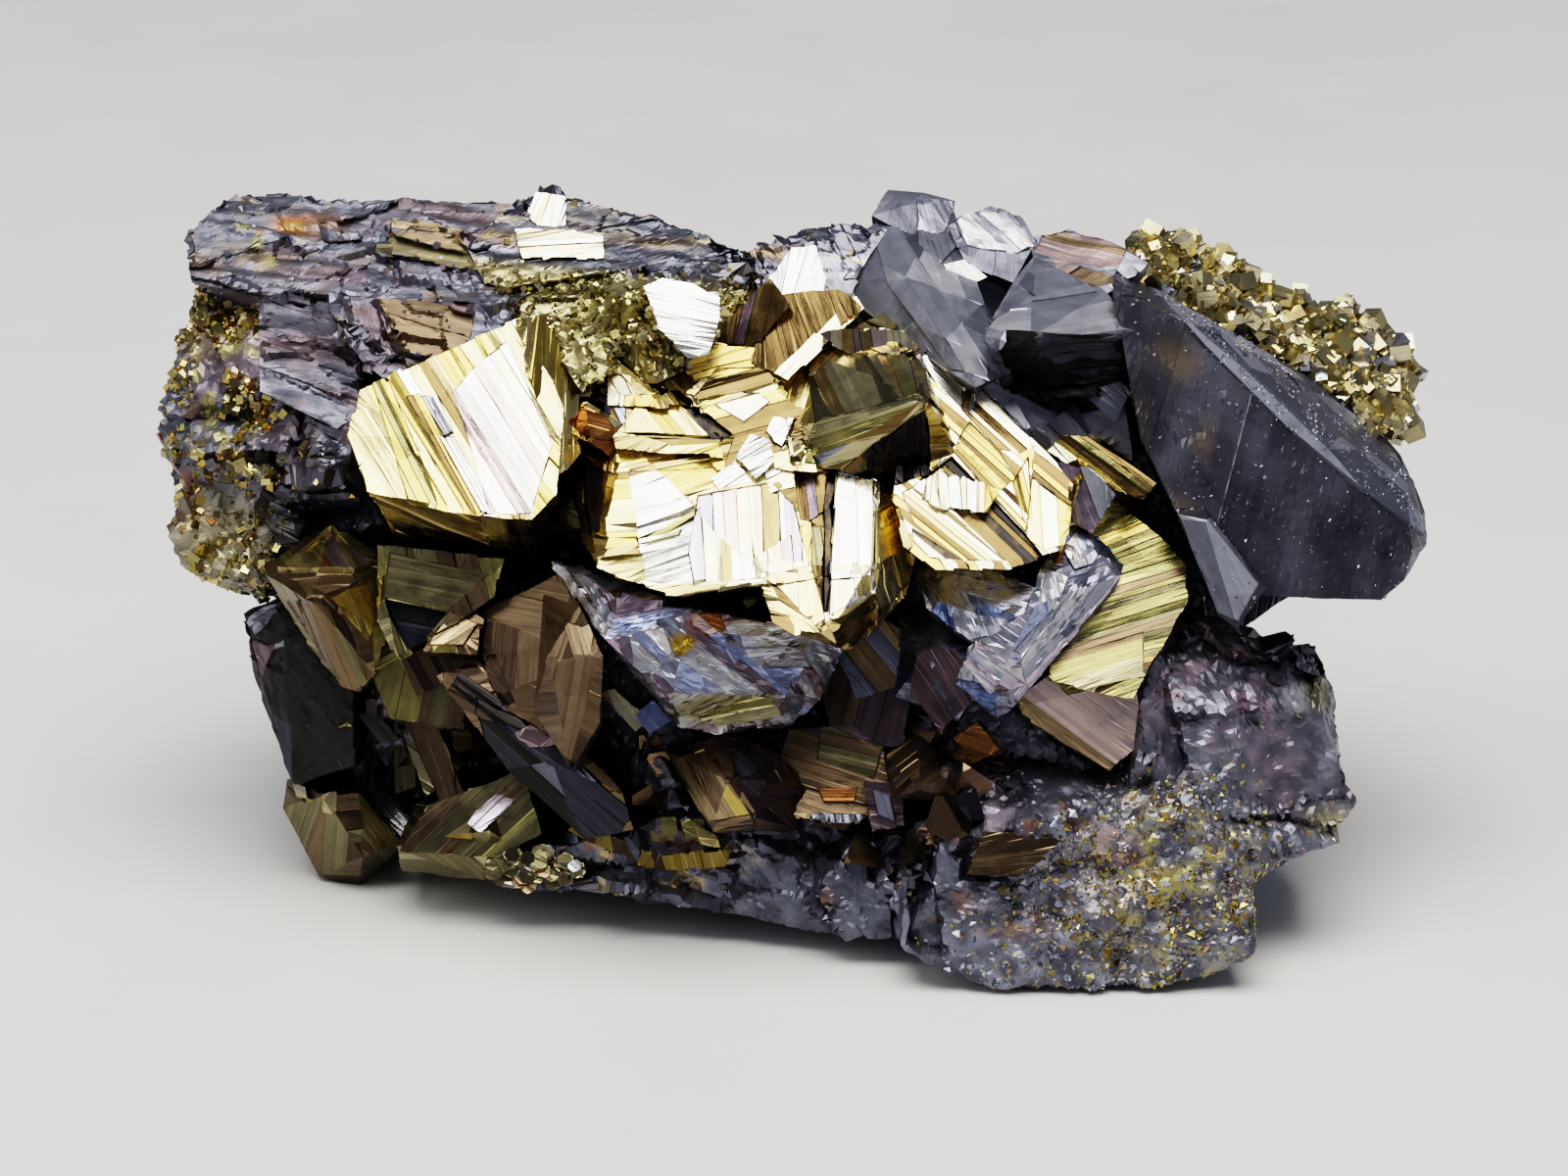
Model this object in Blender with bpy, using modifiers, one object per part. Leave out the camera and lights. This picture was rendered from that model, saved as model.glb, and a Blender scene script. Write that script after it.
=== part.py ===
"""A chalcopyrite crystal cluster: brassy and tarnished crystals grown on a dark lump of ore.

Every crystal is the convex hull of its corners. The corners are drawn as an eye sees them that looks
down at the specimen: u runs right and v runs up the picture, both measured on an upright plane tilted
back by VIEW_TILT, and w stands out of that plane towards the eye, all in millimetres. Crystals that
overlap are joined into one solid, and each body is cut back around the ones that grew over it.
"""

import math
import random

import bmesh
import bpy
from mathutils import Matrix, Vector

# Driving dimensions.
MM = 0.001
VIEW_TILT = math.radians(20)  # how far the drawing plane leans back from upright
EYE = 420  # distance of the eye from the drawing plane, mm
EYE_V = 25  # height on the plane that the eye looks straight at, mm
DROP = 0.53  # the drawing plane's origin lies this far under the resting plane, mm
GAP = 0.32 * MM  # clearance between bodies that grew against each other
DEPTH = 11  # how far a crystal runs back from its face unless it says otherwise, mm
TAPER = 0.88  # a crystal's root as a share of its face
ORE_VOXEL = 0.9 * MM  # the ore's lumps are fused on a grid of this size
ORE_TRIANGLES = 2600
BASE_MIDDLE = (0.41, 13.6)  # the middle of the specimen's base, from the drawing plane's origin, mm

# The drawing plane's directions, in the part's own frame.
RIGHT = Vector((1, 0, 0))
UP = Vector((0, math.sin(VIEW_TILT), math.cos(VIEW_TILT)))
OUT = Vector((0, -math.cos(VIEW_TILT), math.sin(VIEW_TILT)))

FINISHES = {
    "brass": ((0.62, 0.47, 0.20, 1), 0.25, 1.0),
    "gold": ((0.55, 0.42, 0.15, 1), 0.3, 1.0),
    "bronze": ((0.30, 0.22, 0.13, 1), 0.35, 1.0),
    "olive": ((0.42, 0.36, 0.14, 1), 0.3, 1.0),
    "slate": ((0.13, 0.13, 0.17, 1), 0.4, 0.6),
    "charcoal": ((0.05, 0.05, 0.07, 1), 0.35, 0.5),
    "blue": ((0.30, 0.33, 0.50, 1), 0.3, 1.0),
    "rust": ((0.20, 0.13, 0.11, 1), 0.5, 0.7),
    "ore": ((0.14, 0.13, 0.15, 1), 0.6, 0.6),
}


def clear_scene():
    for obj in list(bpy.data.objects):
        bpy.data.objects.remove(obj, do_unlink=True)


def finish(name):
    """The plain finish of one kind of crystal."""
    colour, roughness, metallic = FINISHES[name]
    made = bpy.data.materials.new(name)
    made.use_nodes = True
    shader = made.node_tree.nodes["Principled BSDF"]
    shader.inputs["Base Color"].default_value = colour
    shader.inputs["Roughness"].default_value = roughness
    shader.inputs["Metallic"].default_value = metallic
    made.diffuse_color = colour
    return made


def spot(u, v, w):
    """The point that the eye sees at u, v and that stands w out of the drawing plane."""
    near = 1 - w / EYE
    point = RIGHT * (u * near) + UP * (EYE_V + (v - EYE_V) * near) + OUT * w
    return (point - Vector((*BASE_MIDDLE, DROP))) * MM


def middle_of(points):
    return sum(points, Vector()) / len(points)


def face(outline, w, lean=(0, 0)):
    """The outline as points on one flat face: w at its middle, changing by lean along u and v."""
    mid_u = sum(u for u, v in outline) / len(outline)
    mid_v = sum(v for u, v in outline) / len(outline)
    near = 1 - w / EYE
    level = w - lean[0] * mid_u * near - lean[1] * (mid_v - EYE_V) * near
    points = []
    for u, v in outline:
        slope = lean[0] * u + lean[1] * (v - EYE_V)
        points.append(spot(u, v, (level + slope) / (1 + slope / EYE)))
    return points


def block(outline, w, lean=(0, 0), into=(0, -1), depth=DEPTH, root=TAPER):
    """Corners of a crystal with one drawn face, running back by depth and aside by into."""
    front = face(outline, w, lean)
    mid = middle_of(front)
    shift = (RIGHT * into[0] + UP * into[1] - OUT * depth) * MM
    return front + [mid + (point - mid) * root + shift for point in front]


def rooted(front, into=(0, -1), depth=DEPTH, root=TAPER):
    """The points of a crystal's front with those of its root, depth behind the lowest of them."""
    mid = middle_of(front)
    lowest = min(point.dot(OUT) for point in front)
    shift = (RIGHT * into[0] + UP * into[1]) * MM
    back = []
    for point in front:
        flat = point + OUT * (lowest - depth * MM - point.dot(OUT))
        heart = mid + OUT * (lowest - depth * MM - mid.dot(OUT))
        back.append(heart + (flat - heart) * root + shift)
    return front + back


def gem(corners, into=(0, -1), depth=DEPTH, root=TAPER):
    """Corners of a crystal whose front has several faces: each corner is given as u, v, w."""
    return rooted([spot(*corner) for corner in corners], into, depth, root)


def lump(middle, size, seed, corners=18):
    """Corners of a broken lump: points spread evenly over an ellipsoid and knocked about."""
    dice = random.Random(seed)
    turn = dice.uniform(0, math.tau)
    points = []
    for step in range(corners):
        height = 1 - 2 * (step + 0.5) / corners
        ring = math.sqrt(1 - height * height)
        angle = turn + step * math.pi * (3 - math.sqrt(5))
        reach = dice.uniform(0.86, 1.1)
        way = (ring * math.cos(angle), ring * math.sin(angle), height)
        points.append(spot(*(m + s * reach * x for m, s, x in zip(middle, size, way))))
    return points


def sphenoid(middle, size, turn, cut=0.3):
    """Corners of a chalcopyrite wedge: a tetrahedron with its four tips cut off flat."""
    tips = [Vector(tip) for tip in ((1, 1, 1), (1, -1, -1), (-1, 1, -1), (-1, -1, 1))]
    frame = Matrix.Rotation(math.radians(turn[2]), 3, "Z")
    frame = frame @ Matrix.Rotation(math.radians(turn[1]), 3, "Y")
    frame = frame @ Matrix.Rotation(math.radians(turn[0]), 3, "X")
    points = []
    for tip in tips:
        for other in tips:
            if other is not tip:
                points.append(spot(*(Vector(middle) + frame @ tip.lerp(other, cut) * size)))
    return points


def cube(middle, size, turn):
    """Corners of a small cube."""
    frame = Matrix.Rotation(math.radians(turn[2]), 3, "Z")
    frame = frame @ Matrix.Rotation(math.radians(turn[1]), 3, "Y")
    frame = frame @ Matrix.Rotation(math.radians(turn[0]), 3, "X")
    signs = [(a, b, c) for a in (-1, 1) for b in (-1, 1) for c in (-1, 1)]
    return [spot(*(Vector(middle) + frame @ Vector(sign) * size / 2)) for sign in signs]


def hull_mesh(name, points):
    """A closed mesh of flat faces around the points."""
    shape = bmesh.new()
    for point in points:
        shape.verts.new(point)
    bmesh.ops.convex_hull(shape, input=shape.verts)
    loose = [vert for vert in shape.verts if not vert.link_faces]
    bmesh.ops.delete(shape, geom=loose, context="VERTS")
    bmesh.ops.dissolve_limit(
        shape, angle_limit=math.radians(1), verts=shape.verts, edges=shape.edges
    )
    bmesh.ops.recalc_face_normals(shape, faces=shape.faces)
    mesh = bpy.data.meshes.new(name)
    shape.to_mesh(mesh)
    shape.free()
    return mesh


def grown_mesh(mesh, gap):
    """The hull with every face moved outwards by gap, cut from a cube plane by plane."""
    shape = bmesh.new()
    bmesh.ops.create_cube(shape, size=0.5)
    for polygon in mesh.polygons:
        cut = bmesh.ops.bisect_plane(
            shape,
            geom=shape.verts[:] + shape.edges[:] + shape.faces[:],
            plane_co=polygon.center + polygon.normal * gap,
            plane_no=polygon.normal,
            clear_outer=True,
        )
        rim = [item for item in cut["geom_cut"] if isinstance(item, bmesh.types.BMEdge)]
        bmesh.ops.holes_fill(shape, edges=rim)
    bmesh.ops.recalc_face_normals(shape, faces=shape.faces)
    grown = bpy.data.meshes.new(mesh.name + "_grown")
    shape.to_mesh(grown)
    shape.free()
    return grown


def collection(name):
    made = bpy.data.collections.new(name)
    bpy.context.scene.collection.children.link(made)
    return made


def helper(mesh, group):
    """A cutter or a building block, which isn't part of the specimen."""
    obj = bpy.data.objects.new(mesh.name, mesh)
    obj.hide_render = True
    obj.display_type = "WIRE"
    group.objects.link(obj)
    return obj


def boolean(obj, group, operation):
    modifier = obj.modifiers.new(operation.lower(), "BOOLEAN")
    modifier.operation = operation
    modifier.operand_type = "COLLECTION"
    modifier.collection = group
    modifier.solver = "EXACT"


def applied(obj):
    """The object's mesh with its modifiers applied, in place of the old one."""
    graph = bpy.context.evaluated_depsgraph_get()
    mesh = bpy.data.meshes.new_from_object(obj.evaluated_get(graph))
    obj.modifiers.clear()
    obj.data = mesh


def keep_largest(mesh):
    """Deletes every loose piece of the mesh but the one with the most surface."""
    shape = bmesh.new()
    shape.from_mesh(mesh)
    left = set(shape.faces)
    islands = []
    while left:
        island = set()
        edge = [next(iter(left))]
        while edge:
            current = edge.pop()
            if current in island:
                continue
            island.add(current)
            for side in current.edges:
                edge.extend(other for other in side.link_faces if other not in island)
        left -= island
        islands.append(island)
    islands.sort(key=lambda island: sum(f.calc_area() for f in island))
    extra = [f for island in islands[:-1] for f in island]
    bmesh.ops.delete(shape, geom=extra, context="FACES")
    shape.to_mesh(mesh)
    shape.free()


# The bodies of crystals, each a list of crystals that overlap.


def bright_crystals():
    """The pale striped crystals in the middle, which catch the light."""
    left = block(
        [(-31.5, 36), (-30.5, 39.2), (-26, 40.3), (-20.3, 43.9), (-19.3, 44.3), (-16.2, 38),
         (-16.8, 32), (-18.5, 30.2), (-22, 30.3), (-30, 32)],
        w=14, lean=(0.1, -0.38), into=(1, -4), depth=11,
    )
    left_flank = block(
        [(-19.3, 44.4), (-17.6, 44.4), (-15.2, 38.6), (-15, 35), (-16.3, 33.6), (-16.6, 38)],
        w=13, lean=(-0.6, -0.35), depth=10,
    )
    heart = gem(
        [(-11.7, 36, 13), (4, 33.4, 14.8), (6.4, 32.6, 15.3), (6.4, 26, 19.6), (-1.5, 25.4, 20.2),
         (-7.5, 24.7, 20), (-10, 25.4, 19.6), (-13.3, 26.5, 18.6), (-15, 35.3, 10.5), (-14.6, 29, 14.5)],
        into=(0, -1.5), depth=9,
    )
    heart_tip = gem(
        [(-2, 27, 19.4), (6.4, 26.6, 19.4), (3.4, 22.2, 21), (2.5, 21.8, 21.2), (1, 21.8, 21.2),
         (-0.7, 22.8, 20.8), (9.6, 28.3, 15.5), (8.6, 24.5, 16), (6.5, 22, 17), (4.5, 20.8, 19),
         (8.4, 32, 13), (6.5, 32.8, 15.2), (9.4, 30, 14)],
        into=(0, 1), depth=8,
    )
    gold_step = block(
        [(-12.4, 38), (-8.6, 38.7), (-5.2, 37.6), (-4.6, 34.6), (-12, 35.4)],
        w=13.2, lean=(0, -0.7),
    )
    middle_step = block(
        [(-6, 38.5), (-0.5, 39.2), (1.8, 37.2), (2.2, 33.6), (-5, 34)],
        w=13.8, lean=(0.1, -0.55),
    )
    lower_rung = block(
        [(-7, 39), (-6, 40), (-1.3, 40.6), (0, 39.2), (-0.5, 38.2), (-6.4, 38)],
        w=12, lean=(0, -0.3), into=(0, 0),
    )
    upper_rung = block(
        [(-7.2, 41.3), (-5.2, 42.6), (-1.8, 42.2), (-0.6, 40.2), (-6.2, 40)],
        w=10.4, lean=(0, -0.4), into=(0, 0),
    )
    shelf = gem(
        [(-12.6, 41.6, 10), (-9, 40.6, 11), (-7, 41.6, 9.6), (-6.4, 38.4, 12.4), (-9, 38.4, 12.8),
         (-12.6, 38.8, 12)],
        depth=8,
    )
    notch = block([(-1, 42.4), (2.6, 43), (3.4, 40), (1.6, 38), (-0.6, 39)], w=10.6, lean=(0.1, -0.5), depth=8)
    orange_chip = gem(
        [(-15.5, 36.5, 13), (-14.5, 38.2, 12.5), (-12, 36.8, 13.5), (-12.3, 34.4, 13.5), (-14, 35.8, 15)],
        depth=6,
    )
    peak_face = block(
        [(-4.2, 43.6), (-1.8, 45.9), (4, 46.6), (5.2, 45.5), (0.6, 40.4), (-2.2, 41.6)],
        w=10, lean=(0.35, -0.55),
    )
    peak_tip = block(
        [(-0.7, 47.5), (0.9, 49.6), (2.1, 49.6), (2.7, 47.5), (2.3, 46.1), (1, 45.1), (-0.8, 45.8)],
        w=8, lean=(-0.1, -0.3), into=(0, -3),
    )
    peak_blade = block(
        [(-5.2, 43.2), (-1, 47.2), (0.2, 45.5), (-2.5, 42.8)],
        w=9.5, lean=(0.3, -0.2), depth=8,
    )
    house = gem(
        [(2.5, 42, 11.5), (7, 44.6, 9.6), (8.2, 43.8, 10.3), (9.9, 42.1, 12), (10.4, 38.4, 19),
         (9.8, 38.5, 19.2), (1.5, 37, 15.2), (2, 33.6, 14.6), (5, 33.8, 15.6), (12.2, 34.8, 14.5),
         (10, 32.6, 14)],
        into=(0, 0), depth=9,
    )
    striped = block(
        [(9, 41.8), (11.4, 42.2), (17.8, 36), (20.8, 32.5), (20.2, 28), (18.5, 27.3), (16, 26.6),
         (11.3, 26.6), (9, 28.2), (8.2, 31.5)],
        w=15.6, lean=(-0.12, -0.5), depth=9,
    )
    curl = gem(
        [(19, 34, 12), (21, 35.9, 10), (23, 35.7, 9.5), (25, 34.2, 9), (26.9, 32.2, 9), (25.2, 30.6, 10.5),
         (20.6, 29.8, 14), (21.6, 33.2, 14.2)],
        depth=9,
    )
    return [
        heart, heart_tip, left, left_flank, gold_step, middle_step, lower_rung, upper_rung, shelf,
        notch, orange_chip, peak_face, peak_tip, peak_blade, house, striped, curl,
    ]


def blue_crystals():
    """The periwinkle crystal right of the middle, its blade and the dark cubes in the hollow below."""
    left = gem(
        [(9.8, 26.2, 13), (15.8, 26.2, 14.5), (19, 24.2, 16), (18, 22.4, 17), (16.5, 21.4, 16.6),
         (13.8, 21.2, 16), (10.6, 23.6, 14.5)],
        depth=8,
    )
    blade_low = gem(
        [(13.8, 20.6, 17.4), (18, 23.4, 18.6), (24.2, 25.6, 15), (17, 16.9, 16.4), (15.5, 15.8, 15.6),
         (12.8, 18.4, 15.4), (15.6, 18.2, 18)],
        depth=8,
    )
    blade_high = gem(
        [(18.8, 25.8, 16.6), (20.2, 29.4, 13), (21.5, 29.3, 13), (22.6, 27.4, 14.6), (24.5, 26.6, 13.4),
         (24.1, 25.4, 14.6), (20.6, 21.6, 16), (17.6, 22.8, 18)],
        depth=8,
    )
    step = gem(
        [(8.6, 23, 9), (13, 22.4, 12), (14.4, 18.6, 13.4), (12.6, 15.6, 12.8), (8.4, 17.2, 9.6),
         (10.8, 19.6, 14)],
        depth=7,
    )
    return [left, blade_low, blade_high, step]


def gold_plate():
    """The olive gold plate with its fine lines, and the pink one under it."""
    plate = block(
        [(22, 29.4), (23.8, 31.2), (27.3, 28.4), (29, 26.6), (29.1, 24), (28, 22), (25.2, 17.2),
         (19.6, 18.4), (19.8, 23)],
        w=12, lean=(-0.12, -0.3),
    )
    pink = block(
        [(17.4, 17), (19.8, 18.8), (25.3, 17.4), (25.6, 16), (25.3, 13.5), (23.7, 12), (17.6, 16)],
        w=13, lean=(-0.1, 0.12),
    )
    return [plate, pink]


def charcoal_crystal():
    """The largest crystal: a dark wedge with a bevelled upper edge."""
    front = face(
        [(24.2, 46.4), (29.6, 44), (33, 41.2), (36, 38), (39.5, 35), (42, 32), (45.6, 27.8), (45, 25.6),
         (43.4, 24.3), (35.4, 24.6), (31.4, 25), (29, 30.4), (26.2, 36.2), (25.2, 41)],
        w=10.6, lean=(-0.32, -0.16),
    )
    bevel = [(24.3, 47.8, 5), (28, 46, 4), (33, 43.3, 3), (38, 40.3, 2), (42, 37.7, 1), (44.8, 34.7, 0.6),
             (46.5, 30.6, 1), (46.6, 28.3, 3)]
    body = rooted(front + [spot(*corner) for corner in bevel], into=(-1, 1), depth=6, root=0.86)
    wedge = gem(
        [(29, 30.2, 14.2), (30.7, 30.3, 14.6), (34.9, 25.1, 13.4), (33, 22.4, 12.6), (31.8, 23.2, 12.4)],
        into=(0, 2), depth=6,
    )
    return [body, wedge]


def slate_crystals():
    """The grey crystals at the top right, with the wedge whose underside is black."""
    roof = gem(
        [(7, 51.6, 0), (9, 47.5, 7.4), (12, 43, 12.4), (14, 39.7, 15.4), (15.8, 40.5, 13.6),
         (14.4, 45.5, 8), (12.2, 52.1, -1.5), (4, 50, -1), (4, 46.5, 3), (10, 42, 8.6)],
        into=(0, -2), depth=7,
    )
    spire = gem(
        [(6.6, 52.2, 0), (7.7, 53.7, -1), (9, 52.6, 0.4), (10.1, 53.4, -1), (12.2, 53, -1), (11, 50, 2)],
        into=(0, -3), depth=7,
    )
    patch = block(
        [(12.4, 51.2), (15, 52.7), (17.2, 52), (18.2, 50.2), (16.6, 47.4), (13.6, 48.6)],
        w=2.6, lean=(0, -0.6), into=(0, -2),
    )
    wedge = gem(
        [(16.8, 47, 8), (18.3, 49, 5), (23.3, 46.4, 8.6), (25.8, 43.8, 12), (18, 43.1, 16), (15, 43.4, 15),
         (25.6, 41.4, 9), (24, 37.8, 8), (20, 38.2, 9), (15.8, 40, 10)],
        into=(0, 0), depth=6,
    )
    copper = block(
        [(17.8, 50.4), (21, 51.2), (23.2, 50), (26.2, 48.5), (23, 46.2), (18.8, 47.6)],
        w=4, lean=(0.05, -0.9), into=(0, -2),
    )
    nook = block(
        [(13, 41), (20, 40), (24.4, 39), (25, 34), (21, 34), (16.4, 37)],
        w=9, lean=(-0.1, 0.1),
    )
    return [roof, spire, patch, wedge, copper, nook]


def rainbow_crystal():
    """The tarnished block under the middle crystal."""
    body = gem(
        [(-16.5, 26.6, 12), (-12, 24.2, 17), (-7, 23.4, 18.4), (2, 21.6, 13.6), (4.2, 20.4, 11.6),
         (-12.6, 21.2, 17.6), (-8.2, 17.2, 18.6), (0, 17.5, 15), (2.2, 17, 12.4), (-7.4, 15.2, 15),
         (-5, 14.8, 14.4), (0.3, 15.4, 12)],
        depth=9,
    )
    return [body]


def bronze_plate():
    """The tall narrow plate left of the rainbow crystal, and the beam behind it."""
    plate = gem(
        [(-17.3, 24.2, 12), (-15, 23.4, 16), (-13.4, 20, 18), (-13.6, 15.4, 17.4), (-15.5, 12, 16.4),
         (-17.9, 16.2, 13), (-17, 20, 15.6)],
        depth=7,
    )
    beam = gem(
        [(-24.8, 18.4, 8), (-22.5, 19.4, 8), (-17, 15, 9), (-12, 10, 10.4), (-11.2, 7.6, 9.6),
         (-14.4, 7, 8.4), (-20, 12, 7.6), (-17, 12.4, 10.4)],
        depth=8,
    )
    prop = gem(
        [(-22, 23, 8), (-16, 26, 9.6), (-14, 20, 12), (-16, 14, 11), (-21, 17, 9)],
        depth=8,
    )
    return [plate, beam, prop]


def fin_crystals():
    """The bronze wedges at the left, with orange tops and grey lined sides."""
    fin = gem(
        [(-33, 29.6, 3), (-37.8, 26.4, 4), (-34.4, 24, 10), (-28.6, 26.4, 6), (-29.2, 22, 6.6),
         (-30, 19, 6.6), (-31, 17.7, 6.6), (-32.1, 18.1, 6.4), (-35.4, 22.5, 4.6)],
        depth=9,
    )
    khaki = block(
        [(-29.4, 27.9), (-20.6, 27), (-21.2, 24.6), (-24, 22.6), (-28, 20), (-29.4, 22.4)],
        w=8.4, lean=(0.25, -0.1),
    )
    chip = block([(-26, 20.6), (-23.5, 23.6), (-22.2, 22.6), (-22.6, 20.4)], w=9, lean=(0.1, -0.3), depth=7)
    under = block([(-30.4, 20), (-25, 22), (-22.6, 19), (-23.6, 15), (-28.4, 15.6)], w=5, lean=(0.1, 0), depth=7)
    return [fin, khaki, chip, under]


def left_dark_crystal():
    """The near black crystal under the fins."""
    body = gem(
        [(-39.2, 23, -1), (-36.8, 24.1, 0), (-33.4, 22.6, 2), (-31.6, 17.6, 3.4), (-31.6, 12.2, 2),
         (-35.6, 11, -1), (-36.2, 16, -1), (-38.2, 18.2, -2), (-36, 21, 2)],
        depth=9,
    )
    return [body]


def foot_crystal():
    """The rounded olive crystal that the left side stands on."""
    body = gem(
        [(-36, 10.9, -7), (-31.7, 11.5, -7), (-31.2, 9.9, -2.6), (-28.2, 6.3, -4), (-30.7, 5.6, -2.8),
         (-31, 3.4, -7.2), (-33.7, 4.1, -7.2), (-36.3, 9, -6), (-33.4, 9.8, -2)],
        into=(0, 0), depth=7, root=0.8,
    )
    return [body]


def lower_block():
    """The brassy block beside the foot, with a silvery blade against it."""
    body = gem(
        [(-28, 6.2, 1), (-26.5, 9.1, -1.4), (-24, 10.6, -3), (-20.5, 11.7, -3.6), (-18.2, 10.4, -1.6),
         (-21.5, 7.3, 5), (-17.8, 5, 1), (-22, 3.9, 1), (-27.6, 4.6, -1.4)],
        into=(0, 1), depth=6,
    )
    blade = gem(
        [(-31.9, 11.6, -3.4), (-30.6, 12.2, -4), (-26.8, 9, -1.4), (-27.6, 7, -1), (-29.9, 9.4, -2)],
        into=(0, 0), depth=5,
    )
    crumb = gem([(-27.6, 14.6, -2), (-25, 15.4, -2), (-23.6, 12, -1), (-26, 10, -1)], depth=6)
    return [body, blade, crumb]


def lower_crystals():
    """The bronze, tan and dark blocks at the lower middle."""
    bronze = gem(
        [(-8.4, 13.2, 9), (-5.5, 13.6, 11), (-2.4, 8.4, 12.4), (-5, 7.6, 10), (-3.5, 14.2, 10),
         (0, 12.2, 9), (1.9, 10.5, 8), (0.9, 7.6, 8), (-4, 11, 13)],
        depth=8,
    )
    ramp = block(
        [(0.6, 14.4), (6, 15), (8.2, 11.4), (5.4, 8), (1, 8.4), (-0.6, 11)],
        w=8.6, lean=(0.1, -0.2),
    )
    tan = gem(
        [(8.1, 9.9, 11), (7.6, 12.6, 9), (9.6, 14, 9), (12.7, 11.2, 11), (12.4, 9.8, 12.6),
         (10, 10.4, 14)],
        depth=7,
    )
    upright = block(
        [(3, 20), (7.6, 22.4), (9.4, 19), (8.4, 13.6), (3.4, 14.4)],
        w=8, lean=(0.2, -0.1),
    )
    chip = block([(6, 10.6), (8.4, 10.6), (8.6, 7.8), (6.6, 7.2)], w=10.4, lean=(0.1, -0.1), depth=7)
    return [bronze, ramp, tan, upright, chip]


def crest():
    """The grainy brassy ridge at the top middle, with small cubes on it."""
    slope = block(
        [(-20, 45.2), (-17, 46.6), (-10, 47.4), (-4.4, 46.2), (-5, 42), (-7, 41), (-9.5, 38.6), (-12.5, 42),
         (-14.4, 42.8)],
        w=9, lean=(0.05, -0.55),
    )
    brow = block(
        [(-19.4, 53), (-16, 53.1), (-14, 52.7), (-10, 51.9), (-5, 49.8), (-2.6, 48.9), (-3.6, 45.6),
         (-10, 46.8), (-17, 46), (-21.6, 47.2), (-22.8, 49.6)],
        w=4.2, lean=(0, -0.85), into=(0, -4), root=0.75,
    )
    saddle = block(
        [(-3.6, 49.2), (0, 50.3), (4, 51.4), (7, 51), (6, 46), (0, 44.6), (-4, 45.8)],
        w=3, lean=(0, -0.6), into=(0, -2),
    )
    bronze = gem(
        [(-16.6, 44, 9.6), (-13.4, 43.8, 10), (-12.4, 41, 11), (-14.8, 39.6, 12.6), (-16, 41.4, 12)],
        depth=6,
    )
    grains = [
        cube((-17.2, 52.9, 0.5), 1.9, (20, 25, 40)),
        cube((-11, 45.6, 8.2), 3, (30, 20, 15)),
        cube((-7.4, 44.4, 9.4), 3.2, (40, 25, 60)),
        cube((-9.4, 42, 10.6), 2.8, (15, 35, 25)),
        cube((-13, 44.6, 9), 2.4, (35, 10, 50)),
        cube((-6.6, 46.6, 7), 2.2, (25, 30, 10)),
    ]
    return [slope, brow, saddle, bronze] + grains


def tarnished_slab():
    """The rough slab across the top left, its bronze plate and its broken steps."""
    top = block(
        [(-40.4, 53.3), (-35.5, 52.6), (-32.5, 52.2), (-26, 52.6), (-18, 52.5), (-17, 47), (-25, 45),
         (-33, 45.4), (-38, 46.4), (-42.6, 47.6), (-43, 50.4), (-41.6, 51.8)],
        w=2.6, lean=(0.02, -0.8), into=(1, -5), depth=13, root=0.72,
    )
    plate = block(
        [(-32.2, 46.4), (-26, 45.4), (-19.4, 46.4), (-22.4, 42), (-23.2, 40.2), (-28, 39.8), (-32.2, 43.8)],
        w=8.8, lean=(0.05, -0.6),
    )
    step = block(
        [(-29.4, 51.2), (-25, 50.7), (-23, 48.8), (-21.4, 46.8), (-26, 45.6), (-30, 47)],
        w=4.6, lean=(0.1, -0.75),
    )
    left_step = block(
        [(-38, 46.6), (-33, 45.6), (-32, 43.4), (-30.4, 39), (-33, 37), (-38, 39.4)],
        w=6.6, lean=(0.15, -0.35),
    )
    rust = block([(-37, 52.8), (-32, 52.4), (-31, 50.4), (-35.6, 50)], w=1.2, lean=(0, -0.9), depth=8)
    return [top, plate, step, left_step, rust]


def pyrite_crust():
    """Small brassy cubes along the top right edge, behind the charcoal crystal."""
    bed = block(
        [(26, 49.6), (30, 49.6), (34, 46.8), (38, 45), (42, 43.4), (45, 41.6), (45, 40), (43.4, 37.4),
         (40, 37.6), (33, 41), (26, 46)],
        w=-2.6, lean=(0, -0.5), into=(-2, -4), root=0.7,
    )
    dice = random.Random(5)
    crest_line = [(27, 48.6), (31, 47.6), (35, 45), (39, 43.4), (43, 42), (44, 39.4)]
    cubes = []
    for row in range(2):
        for (u0, v0), (u1, v1) in zip(crest_line, crest_line[1:]):
            for part in (0.1, 0.6):
                share = part + dice.uniform(-0.1, 0.1)
                size = dice.uniform(2.4, 4.2)
                middle = (
                    u0 + (u1 - u0) * share - 0.6 * row,
                    v0 + (v1 - v0) * share - 2.6 * row,
                    -3 + 2.6 * row,
                )
                turn = [dice.uniform(10, 80) for axis in range(3)]
                cubes.append(cube(middle, size, turn))
    return [bed] + cubes


def back_crystals():
    """The crystals of the hidden side, wedges like those in front."""
    return [
        sphenoid((-16, 33, -21), 7, (20, 35, 10)),
        sphenoid((-6, 37, -22), 6, (60, 15, 45)),
        sphenoid((-3, 28, -24), 7.5, (35, 70, 20)),
        sphenoid((-15, 23, -22), 6.5, (80, 30, 65)),
        sphenoid((7, 34, -22), 5.5, (10, 50, 80)),
        sphenoid((-9, 16, -21), 5.5, (25, 15, 30)),
    ]


def back_wedges():
    """A second group of wedges behind the charcoal crystal."""
    return [
        sphenoid((24, 34, -19), 7, (15, 60, 35)),
        sphenoid((31, 29, -14), 7, (70, 20, 15)),
        sphenoid((21, 25, -20), 6, (40, 40, 70)),
    ]


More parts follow.
